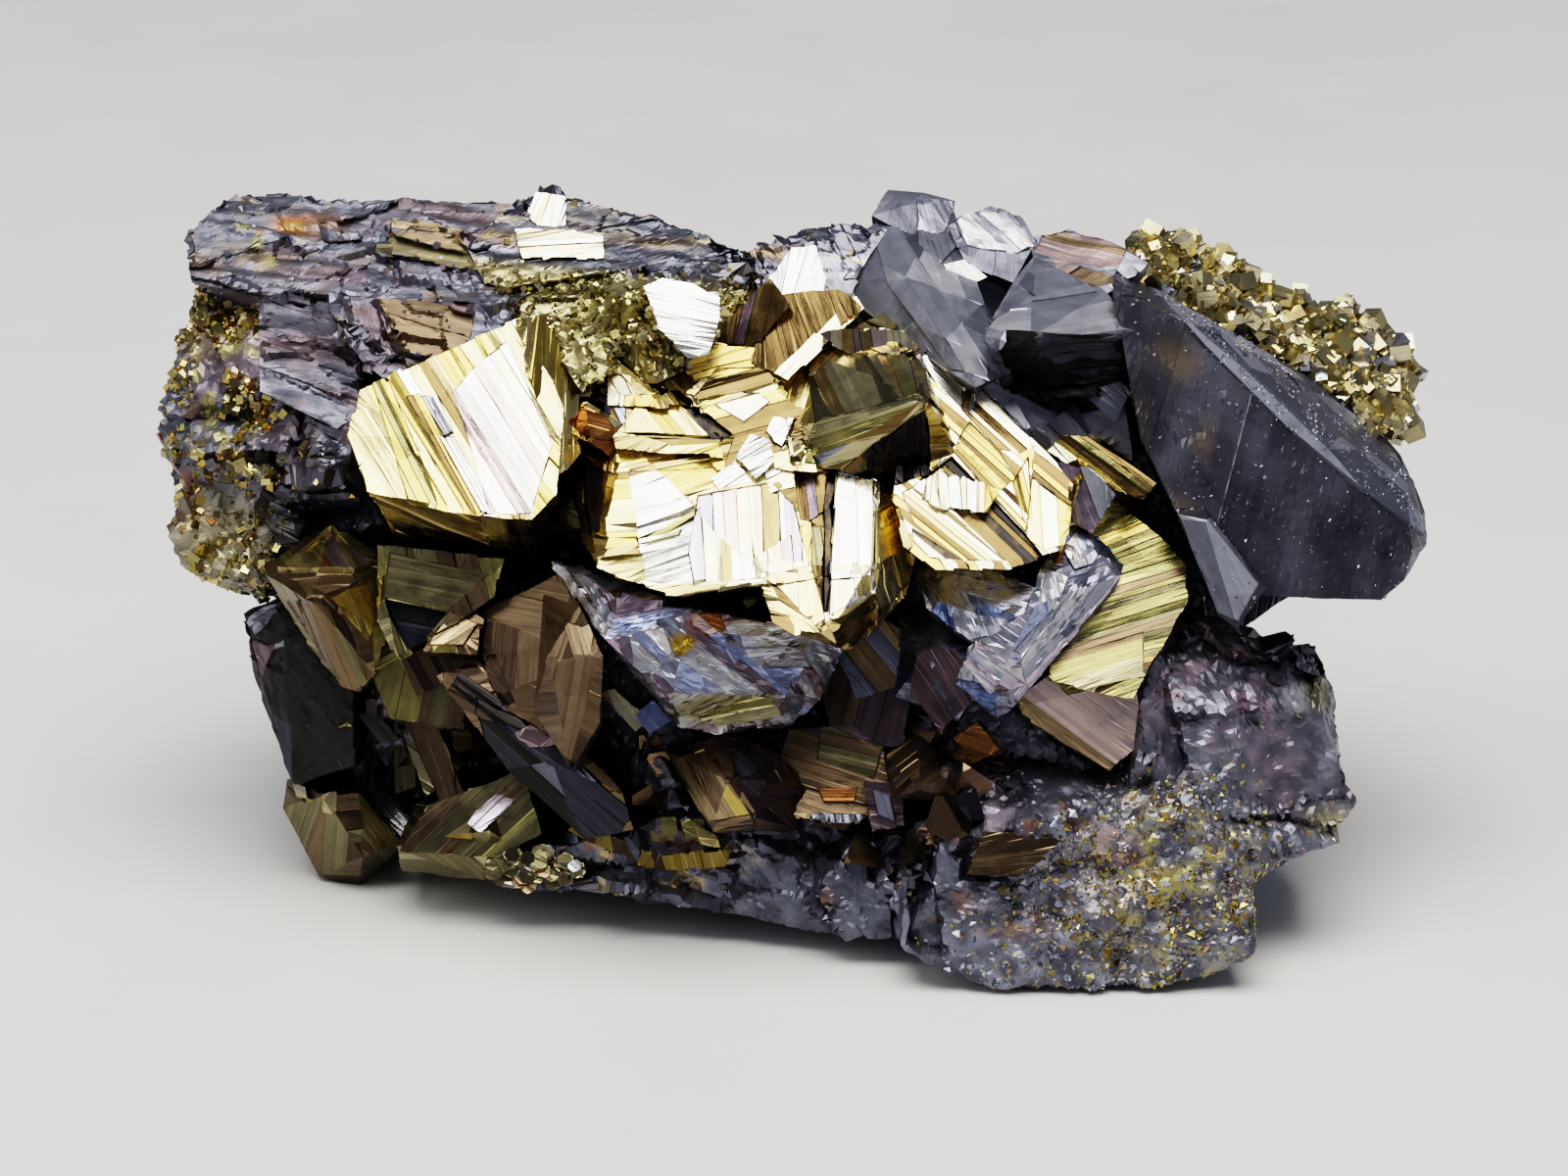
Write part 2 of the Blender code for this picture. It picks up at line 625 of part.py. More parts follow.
def ore_lumps():
    """The ore that everything grew on: its heart, and the lobes and ledges that show at the edge."""
    lumps = [
        lump((-26, 36, -10), (15, 12, 13), 1),
        lump((-2, 32, -9), (21, 17, 18), 2),
        lump((20, 36, -9), (18, 13, 14), 3),
        lump((33, 33, -6), (11, 10, 9), 4),
        lump((-6, 18, -6), (18, 13, 13), 5),
        lump((-23, 21, -6), (10, 11, 11), 6),
        lump((20, 16, -2), (16, 13, 14), 7),
        lump((33, 15, 0), (8, 7, 10), 8),
        lump((4, 14, -19), (16, 10, 8), 9),
        lump((-28, 13, -14), (7, 6, 7), 10),
        lump((-20, 9, -11), (9, 6, 7), 14),
        lump((-20, 42, -6), (14, 9, 12), 11),
        lump((8, 44, -6), (18, 7, 9), 12),
        lump((-27, 41, -15), (13, 8, 8), 15),
        lump((-4, 41, -16), (14, 8, 8), 16),
        lump((18, 41, -15), (12, 8, 8), 17),
        lump((-30, 26, -8), (8, 9, 9), 13),
    ]
    left_end = block(
        [(-46, 37.3), (-44.3, 38.8), (-44, 44.2), (-42.2, 46.2), (-42.8, 49), (-37, 49), (-33, 46),
         (-30, 38), (-32, 34), (-38, 33.4), (-45.5, 35.3)],
        w=4, lean=(0.3, -0.4), depth=12, root=0.75,
    )
    left_brow = block(
        [(-45.6, 38.6), (-44.2, 44), (-36, 44), (-31, 37), (-33, 34.6), (-44, 36)],
        w=5.4, lean=(0.35, -0.2), depth=8, root=0.8,
    )
    left_ledge = block(
        [(-45.5, 35.4), (-38, 35.4), (-30, 34), (-30, 31.6), (-38, 32), (-44.4, 32.5)],
        w=4.6, lean=(0.25, 0.1), depth=9, root=0.8,
    )
    left_lobe = block(
        [(-44.4, 30.6), (-44.9, 29), (-44, 27.2), (-42.5, 26.4), (-40, 25.1), (-37.6, 25), (-36, 28.6),
         (-38, 31.4), (-42, 31.8)],
        w=3, lean=(0.1, -0.2), depth=11, root=0.8,
    )
    right_shoulder = block(
        [(30, 23.4), (34, 21.9), (36, 21.3), (38, 20.3), (39.7, 18.7), (38.7, 15.6), (31, 11), (25, 15),
         (26.4, 21)],
        w=9.4, lean=(-0.2, -0.25), depth=13, root=0.8,
    )
    right_point = block(
        [(38.4, 15.9), (40.5, 13.1), (42.1, 10), (42, 9.2), (41.1, 8.3), (41.1, 6.8), (38, 6.1), (34, 4.6),
         (27, 5), (25, 14), (30, 18)],
        w=9.4, lean=(-0.25, -0.1), depth=13, root=0.75,
    )
    right_foot = block(
        [(33, 4), (34, 2.6), (34.7, 0), (33.8, -2.4), (29, -3.6), (25, -4.6), (20.5, -4.6), (17.5, -3.4),
         (14, -3.2), (12, -3), (8.6, -1.6), (8, 4), (14, 10), (30, 9)],
        w=13, lean=(0, 0.1), into=(0, 5), depth=16, root=0.85,
    )
    right_ledge = gem(
        [(12.4, 6, 15), (16, 7.8, 16), (18.2, 7.8, 16), (20.4, 6.2, 15.4), (19, 10.4, 13), (13, 10, 12),
         (16, 4.6, 12)],
        depth=6,
    )
    bottom_band = block(
        [(13, -1.6), (8, -0.8), (4, -0.3), (-1, 0.5), (-4, 1.2), (-10, 1.9), (-13.4, 2.4), (-16, 6), (-8, 8.6), (6, 8.4),
         (12, 5)],
        w=6, lean=(0.15, 0.1), into=(0, 3.4), depth=12, root=0.9,
    )
    crumbs = block(
        [(-15.2, 2.9), (-17.2, 2.2), (-19, 2.7), (-22, 3.9), (-21, 6), (-14.6, 6)],
        w=3.6, lean=(0, 0), into=(0, 2), depth=9,
    )
    back_foot = block(
        [(-6, 17), (-7, 7), (4, 5), (16, 6), (18, 15), (6, 19)],
        w=-14, lean=(0, 0.2), into=(0, 2), depth=12, root=0.8,
    )
    return lumps + [
        left_end, left_brow, left_ledge, left_lobe, right_shoulder, right_point, right_foot, right_ledge,
        bottom_band, crumbs, back_foot,
    ]


# The specimen's bodies from the ones on top to the ones that they grew over.
BODIES = {
    "bright_crystals": ("brass", bright_crystals),
    "blue_crystals": ("blue", blue_crystals),
    "gold_plate": ("gold", gold_plate),
    "charcoal_crystal": ("charcoal", charcoal_crystal),
    "slate_crystals": ("slate", slate_crystals),
    "rainbow_crystal": ("blue", rainbow_crystal),
    "bronze_plate": ("bronze", bronze_plate),
    "fin_crystals": ("bronze", fin_crystals),
    "lower_block": ("olive", lower_block),
    "foot_crystal": ("olive", foot_crystal),
    "left_dark_crystal": ("charcoal", left_dark_crystal),
    "lower_crystals": ("bronze", lower_crystals),
    "crest": ("gold", crest),
    "tarnished_slab": ("rust", tarnished_slab),
    "pyrite_crust": ("brass", pyrite_crust),
    "back_crystals": ("bronze", back_crystals),
    "back_wedges": ("slate", back_wedges),
}


def reach_of(obj):
    """The object's lowest and highest corners."""
    corners = [Vector(corner) for corner in obj.bound_box]
    low = Vector(min(corner[axis] for corner in corners) for axis in range(3))
    high = Vector(max(corner[axis] for corner in corners) for axis in range(3))
    return low, high


def near(one, other):
    """Whether the boxes of two objects meet."""
    low_a, high_a = reach_of(one)
    low_b, high_b = reach_of(other)
    return all(low_a[axis] < high_b[axis] and low_b[axis] < high_a[axis] for axis in range(3))


def floor_cutter(group):
    """A slab under the resting plane, which cuts the feet flat."""
    shape = bmesh.new()
    bmesh.ops.create_cube(shape, size=0.2, matrix=Matrix.Translation((0, 0, -0.1)))
    mesh = bpy.data.meshes.new("floor_cutter")
    shape.to_mesh(mesh)
    shape.free()
    return helper(mesh, group)


def cut_back(obj, cutters):
    """Takes the grown crystals and the floor out of a body, and keeps its largest piece."""
    group = collection(obj.name + "_cutters")
    for cutter in cutters:
        if near(obj, cutter):
            group.objects.link(cutter)
    if group.objects:
        boolean(obj, group, "DIFFERENCE")
        applied(obj)
    keep_largest(obj.data)


def crystal_body(name, crystals, specimen, grown, cutters):
    """One body of crystals, joined and cut back. It adds its own grown crystals to the cutters."""
    meshes = [hull_mesh(f"{name}_{index}", points) for index, points in enumerate(crystals)]
    obj = bpy.data.objects.new(name, meshes[0].copy())
    specimen.objects.link(obj)
    if len(meshes) > 1:
        group = collection(name + "_blocks")
        for mesh in meshes[1:]:
            helper(mesh, group)
        boolean(obj, group, "UNION")
        applied(obj)
    bpy.context.view_layer.update()
    cut_back(obj, cutters)
    cutters.extend(helper(grown_mesh(mesh, GAP), grown) for mesh in meshes)
    bpy.context.view_layer.update()
    return obj


def roughened(obj, size, strength, kind):
    """Adds a displacement by a noise of the given size."""
    texture = bpy.data.textures.new(f"{kind.lower()}_{size:.4f}", kind)
    texture.noise_scale = size
    modifier = obj.modifiers.new(kind.lower(), "DISPLACE")
    modifier.texture = texture
    modifier.texture_coords = "GLOBAL"
    modifier.strength = strength
    modifier.mid_level = 0.5


def ore_body(specimen, cutters):
    """The ore: its lumps fused on a grid, roughened, thinned out and cut back around the crystals."""
    shape = bmesh.new()
    for index, points in enumerate(ore_lumps()):
        shape.from_mesh(hull_mesh(f"ore_{index}", points))
    mesh = bpy.data.meshes.new("ore")
    shape.to_mesh(mesh)
    shape.free()
    obj = bpy.data.objects.new("ore", mesh)
    specimen.objects.link(obj)
    remesh = obj.modifiers.new("fuse", "REMESH")
    remesh.mode = "VOXEL"
    remesh.voxel_size = ORE_VOXEL
    roughened(obj, 8 * MM, 1.8 * MM, "CLOUDS")
    roughened(obj, 3 * MM, 1.2 * MM, "VORONOI")
    applied(obj)
    thin = obj.modifiers.new("thin", "DECIMATE")
    thin.ratio = ORE_TRIANGLES / (2 * len(obj.data.polygons))
    applied(obj)
    keep_largest(obj.data)
    bpy.context.view_layer.update()
    cut_back(obj, cutters)
    return obj


def main():
    clear_scene()
    specimen = collection("chalcopyrite_crystal_cluster")
    grown = collection("grown_crystals")
    cutters = [floor_cutter(grown)]
    bpy.context.view_layer.update()
    for name, (look, crystals) in BODIES.items():
        obj = crystal_body(name, crystals(), specimen, grown, cutters)
        obj.data.materials.clear()
        obj.data.materials.append(finish(look))
    ore = ore_body(specimen, cutters)
    ore.data.materials.clear()
    ore.data.materials.append(finish("ore"))


main()
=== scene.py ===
"""The looks of a chalcopyrite crystal cluster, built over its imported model.

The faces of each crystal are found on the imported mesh, cut along their growth lines and moved out by
them. The ore is refined and broken up. Places are given as the eye sees them: u runs right and v runs up
the picture, on an upright plane tilted back by VIEW_TILT, and w stands out of it, in millimetres.
"""

import itertools
import math
import random

import bmesh
import bpy
import numpy as np
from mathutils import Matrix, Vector
from mathutils.bvhtree import BVHTree


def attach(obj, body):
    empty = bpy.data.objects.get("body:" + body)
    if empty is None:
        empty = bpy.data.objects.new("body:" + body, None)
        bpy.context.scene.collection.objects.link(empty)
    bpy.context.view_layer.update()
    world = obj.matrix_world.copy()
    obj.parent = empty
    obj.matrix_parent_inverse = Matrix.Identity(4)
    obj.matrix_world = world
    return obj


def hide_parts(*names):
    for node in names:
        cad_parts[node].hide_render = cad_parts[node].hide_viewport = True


MM = 0.001
TINY = 1e-20  # keeps a division by nothing from failing
VIEW_TILT = math.radians(20)  # how far the view looks down
EYE = 420  # distance of the eye from the drawing plane, mm
EYE_V = 25  # height on the plane that the eye looks straight at, mm
DROP = 0.53  # the drawing plane's origin lies this far under the floor, mm
BASE_MIDDLE = (0.41, 13.6)  # the base's middle from the drawing plane's origin, mm
PHOTO_WIDTH = 1600  # pixels
PHOTO_SCALE = 14  # pixels to a millimetre on the drawing plane
SENSOR = 36  # width of the camera's sensor, mm

JOIN = 1e-6  # packed corners closer than this are one, m
CUT = 1e-7  # a corner closer than this to a cutting plane lies on it, m
FLAT = math.radians(1.2)  # faces that meet at less than this are one crystal face
GROW = 0.17 * MM  # closes the gap that the solids leave between crystals
RISER = 0.07  # width of the step between two growth bands, mm
RIM = 0.09  # width of the step around a patch of a face, mm
FACING = 0.12  # least cosine between a face's normal and the way to the eye for a patch to show on it
ROCK_FACING = 0.25  # the same for a flat break of the ore
ROCK_DEPTH = -14  # flat breaks of the ore end this far out of the drawing plane, mm
PROBE = (0.02, 0.9)  # a probe for a clear surface starts this far over it and reaches this far, mm
LEAST_AREA = 0.3 * MM * MM  # smaller facets have no growth lines
DAMPING = 0.05  # keeps corners steady where nearly parallel faces meet
STRETCH = 1.6  # a corner moves at most this many times as far as its faces
TINT_RANGE = (0.008, 0.97)  # darkest and brightest colour of a face
BAND_SPREAD = (0.4, 1.7)  # narrowest and widest growth band beside the look's own
LINE_SHADES = (0.82, 1.12)  # darkest and brightest growth line of a band
DULL_SPREAD = 0.05  # how far growth lines differ in roughness
LINES_START = 0.01  # growth lines start this far before a facet, mm
LINE_WAYS = (-0.9, 0.4)  # slopes of the growth lines on faces without a look of their own
ALONG_SHARE = 0.6  # share of those faces whose lines run across the picture
COVERED_SHADE = 0.6  # painted shade: brightness of a facet without growth lines, covered, tiny or a patch's rim, beside its look's first colour
INWARD = 0.3  # a facet's corners are probed this share of the way to its middle
NO_ANGLE = 9  # stands for the angle of a face that has none
LATTICE = 4001  # cells along a side of the lattice that numbers them
ORE_EDGE = 1.8 * MM  # longest edge of the ore while its open parts are looked for
ORE_BREAKS = [(9, 11, 1.8), (3.6, 13, 0.8)]  # size, seed and reach of the ore's breaks, mm
FINE_BREAKS = [(1.5, 17, 0.3)]  # the same for its small ones
FLAT_REACH = 2.2  # points move at most this far into a flat break, mm
GRAIN_POWER = 2.2  # makes most grains small
GRAIN_STRETCH = (0.65, 1.25)  # shortest and longest side of a grain, in sizes
GRAIN_SHADES = (0.75, 1.15)  # darkest and brightest grain of a colour
OCTAHEDRON = 0.6  # from an octahedral grain's middle to its tips, in sizes
WEDGE = 0.45  # the same for a wedge's tips, along each axis
TIP_CUT = 0.18  # share of a wedge's edge that its cut tip takes
TAPER = 0.8  # how wide a small crystal's hidden end is beside its front
SINK = 0.25  # how deep a grain sits, in sizes
MOST_HALVINGS = 12  # rounds of halving a mesh's long edges
CRYSTAL_EDGE = 2.6 * MM  # longest edge on crystal faces
ROCK_EDGE = 0.52 * MM  # longest edge on broken surfaces that face the eye
BACK_EDGE = 1.0 * MM  # longest edge on the other broken surfaces

RIGHT = Vector((1, 0, 0))
UP = Vector((0, math.sin(VIEW_TILT), math.cos(VIEW_TILT)))
OUT = Vector((0, -math.cos(VIEW_TILT), math.sin(VIEW_TILT)))
STREAK = RIGHT * 0.97 - UP * 0.2  # the way that the slab and the ridge are drawn out
LEFT_DRUSE = ((-40, 42), (9, 12))  # middle and reach of the golden druse at the left

COLOURS = {
    # white is painted highlight: wherever a look uses it, it stands for the lamp's glare on a face
    "white": (0.78, 0.76, 0.72),
    "white_gold": (0.68, 0.60, 0.40),
    "pale_gold": (0.58, 0.47, 0.21),
    "gold": (0.50, 0.36, 0.10),
    "deep_gold": (0.46, 0.31, 0.06),
    "tan": (0.32, 0.235, 0.14),
    "orange": (0.38, 0.18, 0.06),
    "bronze": (0.17, 0.12, 0.075),
    "dark_bronze": (0.08, 0.056, 0.038),
    "honey": (0.32, 0.23, 0.10),
    "umber": (0.12, 0.08, 0.035),
    "black": (0.02, 0.018, 0.018),
    "pink": (0.56, 0.42, 0.40),
    "rose": (0.33, 0.245, 0.25),
    "lilac": (0.40, 0.35, 0.44),
    "mauve": (0.20, 0.155, 0.20),
    "olive": (0.30, 0.265, 0.105),
    "khaki": (0.18, 0.16, 0.09),
    "brass": (0.42, 0.37, 0.21),
    "slate": (0.12, 0.125, 0.165),
    "steel": (0.25, 0.26, 0.33),
    "silver": (0.46, 0.47, 0.53),
    "periwinkle": (0.28, 0.32, 0.52),
    "blue": (0.10, 0.14, 0.30),
    "rust": (0.30, 0.12, 0.045),
    "plum": (0.11, 0.08, 0.095),
    "charcoal": (0.04, 0.04, 0.055),
}


def spot(u, v, w):
    """The point that the eye sees at u, v and that stands w out of the drawing plane."""
    near = 1 - w / EYE
    point = RIGHT * (u * near) + UP * (EYE_V + (v - EYE_V) * near) + OUT * w
    return (point - Vector((*BASE_MIDDLE, DROP))) * MM


EYE_POINT = spot(0, EYE_V, 0) + OUT * EYE * MM


def seen_at(points):
    """u, v and w of each point, as the eye sees it."""
    base = np.array(points) / MM + np.array((*BASE_MIDDLE, DROP))
    w = base @ np.array(OUT)
    near = 1 - w / EYE
    u = base @ np.array(RIGHT) / near
    v = EYE_V + (base @ np.array(UP) - EYE_V) / near
    return u, v, w


# Noise


def cell_number(cells, seed):
    """A number from 0 to 1 for each cell of a lattice, the same each run."""
    mixed = cells[:, 0] * 73856093 ^ cells[:, 1] * 19349663 ^ cells[:, 2] * 83492791 ^ (seed * 40503 + 17)
    mixed = (mixed ^ (mixed >> 13)) & 0xFFFFFFFF
    mixed = (mixed * 1274126177) & 0xFFFFFFFF
    mixed = mixed ^ (mixed >> 16)
    return (mixed & 0xFFFFFF) / 0xFFFFFF


def noise(points, size, seed):
    """Smooth noise from -1 to 1 with features of about that size."""
    scaled = points / size
    base = np.floor(scaled).astype(np.int64)
    part = scaled - base
    part = part * part * (3 - 2 * part)
    total = np.zeros(len(points))
    for corner in itertools.product((0, 1), repeat=3):
        weight = np.prod(np.where(np.array(corner) == 1, part, 1 - part), axis=1)
        total += weight * cell_number(base + np.array(corner), seed)
    return 2 * total - 1


def draws(cells, seeds):
    """Three numbers from 0 to 1 for each cell."""
    return np.stack([cell_number(cells, seed) for seed in seeds], axis=1)


def of_nearest_cell(points, size, seed, value):
    """What value gives for each point's nearest cell in a lattice of strewn centres."""
    base = np.floor(points / size).astype(np.int64)
    nearest = np.full(len(points), np.inf)
    found = np.zeros(len(points))
    for corner in itertools.product((-1, 0, 1), repeat=3):
        cells = base + np.array(corner)
        gaps = points - (cells + draws(cells, range(seed, seed + 3))) * size
        away = np.sum(gaps * gaps, axis=1)
        closer = away < nearest
        nearest[closer] = away[closer]
        found[closer] = value(cells, gaps)[closer]
    return found


def shards(points, size, seed, lean=0.5, step=0.4):
    """Broken facets: each point takes the height of the tilted plane of its nearest cell."""

    def height(cells, gaps):
        slope = (draws(cells, range(seed + 3, seed + 6)) - 0.5) * 2 * lean
        return np.sum(gaps * slope, axis=1) / size + (cell_number(cells, seed + 6) - 0.5) * step

    return of_nearest_cell(points, size, seed, height)


def number_of(cells, gaps):
    """A number of its own for each cell of a lattice."""
    return (cells[:, 0] * LATTICE + cells[:, 1]) * LATTICE + cells[:, 2]


def flattened(points, normals, size, seed, most):
    """How far to move each point to lay it in the flat break of its cell, by most at the most."""
    way = np.argmax(np.abs(normals), axis=1)
    side = np.take_along_axis(normals, way[:, None], axis=1)[:, 0] > 0
    key = of_nearest_cell(points, size, seed, number_of) * 6 + way * 2 + side
    group = np.unique(key, return_inverse=True)[1].ravel()
    count = np.bincount(group)
    centre = np.stack([np.bincount(group, column) / count for column in points.T], axis=1)
    facing = unit(np.stack([np.bincount(group, column) for column in normals.T], axis=1))
    off = np.sum((centre[group] - points) * facing[group], axis=1)
    return facing[group] * np.clip(off, -most, most)[:, None]


def stretched(points, along, factor):
    """The points squeezed along one direction, so that noise on them runs in streaks that way."""
    along = np.array(Vector(along).normalized())
    run = points @ along
    return points - np.outer(run, along) * (1 - 1 / factor)


# Meshes


def mesh_object(name, points, triangles):
    """A flat-shaded mesh in the scene, made of points and triangles."""
    mesh = bpy.data.meshes.new(name)
    mesh.vertices.add(len(points))
    mesh.vertices.foreach_set("co", points.astype(np.float32).ravel())
    mesh.loops.add(len(triangles) * 3)
    mesh.loops.foreach_set("vertex_index", triangles.astype(np.int32).ravel())
    mesh.polygons.add(len(triangles))
    mesh.polygons.foreach_set("loop_start", np.arange(0, len(triangles) * 3, 3, dtype=np.int32))
    mesh.update(calc_edges=True)
    mesh.shade_flat()
    obj = bpy.data.objects.new(name, mesh)
    bpy.context.scene.collection.objects.link(obj)
    return obj


def paint(obj, tints, grains, dulls):
    """Stores each face's colour, the direction across its growth lines and its roughness change."""
    colours = np.concatenate([np.clip(tints, *TINT_RANGE), np.ones((len(tints), 1))], axis=1)
    for name, kind, field, values in (
        ("tint", "FLOAT_COLOR", "color", colours),
        ("grain", "FLOAT_VECTOR", "vector", grains),
        ("dullness", "FLOAT", "value", dulls),
    ):
        stored = obj.data.attributes.new(name, kind, "FACE")
        stored.data.foreach_set(field, values.astype(np.float32).ravel())


def clean_shape(node):
    """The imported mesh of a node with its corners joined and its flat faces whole."""
    shape = bmesh.new()
    shape.from_mesh(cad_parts[node].data)
    bmesh.ops.remove_doubles(shape, verts=shape.verts, dist=JOIN)
    bmesh.ops.dissolve_limit(shape, angle_limit=FLAT, verts=shape.verts, edges=shape.edges)
    bmesh.ops.recalc_face_normals(shape, faces=shape.faces)
    return shape


def arrays_of(shape):
    """The points and triangles of a triangulated shape."""
    shape.verts.index_update()
    points = np.array([vert.co for vert in shape.verts])
    triangles = np.array([[vert.index for vert in face.verts] for face in shape.faces])
    return points, triangles


def face_crosses(points, triangles):
    """Each triangle's normal, as long as twice its area."""
    corners = points[triangles]
    return np.cross(corners[:, 1] - corners[:, 0], corners[:, 2] - corners[:, 0])


def unit(vectors):
    return vectors / np.maximum(np.linalg.norm(vectors, axis=1), TINY)[:, None]


def points_of(triangles, count):
    """Which of count points the triangles touch."""
    touched = np.zeros(count, bool)
    touched[triangles.ravel()] = True
    return touched


def point_normals(points, triangles):
    crosses = face_crosses(points, triangles)
    total = np.zeros_like(points)
    for corner in range(3):
        np.add.at(total, triangles[:, corner], crosses)
    return unit(total)


def refined(points, triangles, wanted, longest):
    """Halves the long edges of the wanted triangles. Returns each new triangle's origin too."""
    origin = np.arange(len(triangles))
    for _ in range(MOST_HALVINGS):
        sides = np.stack([triangles, np.roll(triangles, -1, axis=1)], axis=2).reshape(-1, 2)
        sides.sort(axis=1)
        keys = sides[:, 0] * len(points) + sides[:, 1]
        edges, which = np.unique(keys, return_inverse=True)
        first, second = edges // len(points), edges % len(points)
        length = np.linalg.norm(points[first] - points[second], axis=1)
        touched = np.zeros(len(edges), bool)
        touched[which.reshape(-1, 3)[wanted[origin]].ravel()] = True
        split = touched & (length > longest)
        if not split.any():
            break
        number = np.full(len(edges), -1)
        number[split] = len(points) + np.arange(split.sum())
        points = np.concatenate([points, (points[first[split]] + points[second[split]]) / 2])
        triangles, parent = split_triangles(triangles, number[which].reshape(-1, 3))
        origin = origin[parent]
    return points, triangles, origin


def split_triangles(triangles, middle):
    """The triangles cut at the midpoints of their sides, where those have one, and their parents."""
    cut = middle >= 0
    count = cut.sum(axis=1)
    index = np.arange(len(triangles))
    pieces = [triangles[count == 0]]
    parents = [index[count == 0]]
    for start in range(3):
        turn = [(start + step) % 3 for step in range(3)]
        corner, mid = triangles[:, turn], middle[:, turn]
        one = (count == 1) & cut[:, start]
        a, b, c = corner[one].T
        m = mid[one, 0]
        pieces += [np.stack([a, m, c], axis=1), np.stack([m, b, c], axis=1)]
        parents += [index[one]] * 2
        two = (count == 2) & ~cut[:, turn[2]]
        a, b, c = corner[two].T
        m, n = mid[two, 0], mid[two, 1]
        pieces += [np.stack([m, b, n], axis=1), np.stack([a, m, n], axis=1), np.stack([a, n, c], axis=1)]
        parents += [index[two]] * 3
    three = count == 3
    a, b, c = triangles[three].T
    m, n, o = middle[three].T
    pieces += [np.stack(piece, axis=1) for piece in ((a, m, o), (m, b, n), (o, n, c), (m, n, o))]
    parents += [index[three]] * 4
    return np.concatenate(pieces), np.concatenate(parents)


def within(u, v, outline):
    """Which places of the picture lie in a convex outline."""
    middle_u, middle_v = middle_of(outline)
    inside = np.ones(len(u), bool)
    for (u0, v0), (u1, v1) in zip(outline, outline[1:] + outline[:1]):
        side = (u1 - u0) * (v - v0) - (v1 - v0) * (u - u0)
        middle_side = (u1 - u0) * (middle_v - v0) - (v1 - v0) * (middle_u - u0)
        inside &= side * middle_side > 0
    return inside


def laid_flat(points, normals, hidden, outlines):
    """The points that the eye sees in each outline, laid in one plane."""
    points = points.copy()
    for outline in outlines:
        u, v, w = seen_at(points)
        towards = np.array(EYE_POINT) - points
        facing = np.sum(normals * towards, axis=1) > ROCK_FACING * np.linalg.norm(towards, axis=1)
        chosen = within(u, v, outline) & ~hidden & facing & (w > ROCK_DEPTH)
        grid = np.stack([u[chosen], v[chosen], np.ones(chosen.sum())], axis=1)
        plane = np.linalg.lstsq(grid, w[chosen], rcond=None)[0]
        move = np.clip(grid @ plane - w[chosen], -FLAT_REACH, FLAT_REACH)
        points[chosen] += np.array(OUT) * (move * MM)[:, None]
    return points


def rock_refined(points, triangles, wanted, fine):
    """The wanted triangles refined, those that face the eye to fine and the others to BACK_EDGE."""
    points, triangles, first = refined(points, triangles, wanted, BACK_EDGE)
    towards = np.array(EYE_POINT) - points[triangles].mean(axis=1)
    facing = np.sum(face_crosses(points, triangles) * towards, axis=1) > 0
    points, triangles, second = refined(points, triangles, wanted[first] & facing, fine)
    return points, triangles, first[second]


def broken(points, triangles, hidden, breaks):
    """Lays the points that aren't hidden in flat breaks, each of size, seed and reach in millimetres."""
    normals = point_normals(points, triangles)
    for size, seed, most in breaks:
        points = points + flattened(points, normals, size * MM, seed, most * MM) * ~hidden[:, None]
    return points


def outside_tree():
    """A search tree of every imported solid."""
    corners, faces = [], []
    for node in sorted(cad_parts):
        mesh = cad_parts[node].data
        start = len(corners)
        corners.extend(vert.co.copy() for vert in mesh.vertices)
        faces.extend([start + index for index in polygon.vertices] for polygon in mesh.polygons)
    return BVHTree.FromPolygons(corners, faces)


def in_the_open(place, normal):
    """Whether nothing lies close over the surface at that place."""
    start, reach = PROBE
    return TREE.ray_cast(place + normal * start * MM, normal, reach * MM)[0] is None


def depth_at(u, v):
    """How far the solids stand out of the drawing plane where the eye sees u, v."""
    hit = TREE.ray_cast(EYE_POINT, spot(u, v, 0) - EYE_POINT)[0]
    return float(seen_at([hit])[2][0]) if hit else None


def middle_of(outline):
    return sum(u for u, v in outline) / len(outline), sum(v for u, v in outline) / len(outline)


# Crystal faces


def tint_list(names):
    """Colours drawn by weight: each name may be followed by *weight."""
    drawn = []
    for name in names.split():
        colour, star, weight = name.partition("*")
        drawn += [np.array(COLOURS[colour])] * int(weight or 1)
    return drawn


def look(tints, lines=(1, -0.5), band=1.2, relief=0.16, tilt=0.05, ripple=0.03, dull=0.0, dark=0.5,
         line=(0.13, 0.45), rough=1.0):
    """How a crystal face looks: its colours and the way its growth lines run, as the eye sees it.

    The bands' width, the height of their relief and the range of the lines' widths are in millimetres. Bands
    lean by tilt and their lines by ripple. The face's roughness goes up by dull, the steps between bands
    are up to dark darker as painted shade, and rough multiplies the face's uneven waves.
    """
    return {
        "lines": lines, "band": band, "relief": relief, "tilt": tilt, "ripple": ripple, "line": line,
        "tints": tint_list(tints), "dull": dull, "dark": dark, "rough": rough,
    }


def patch(outline, style, lift=0.0, rake=(0, 0)):
    """A part of a face with its own look. It stands lift over its face and leans by rake."""
    return {"outline": outline, "style": style, "lift": lift, "rake": rake}


def line_direction(normal, place, lines):
    """The direction on a face that the eye sees running along lines."""
    ray = place - EYE_POINT
    sheet = ray.cross(RIGHT * lines[0] + UP * lines[1])
    return normal.cross(sheet).normalized()


def facet_of(faces, **known):
    """A flat part of a crystal, measured from its faces, and what else is known of it."""
    area = sum(face.calc_area() for face in faces)
    centre = sum((face.calc_center_median() * face.calc_area() for face in faces), Vector())
    normal = sum((face.normal * face.calc_area() for face in faces), Vector())
    made = {
        "faces": faces, "area": area, "centre": centre / max(area, TINY), "normal": normal.normalized(),
        "lift": 0.0, "rake": (0, 0), "loose": False, "style": None, "kept": False,
    }
    return made | known


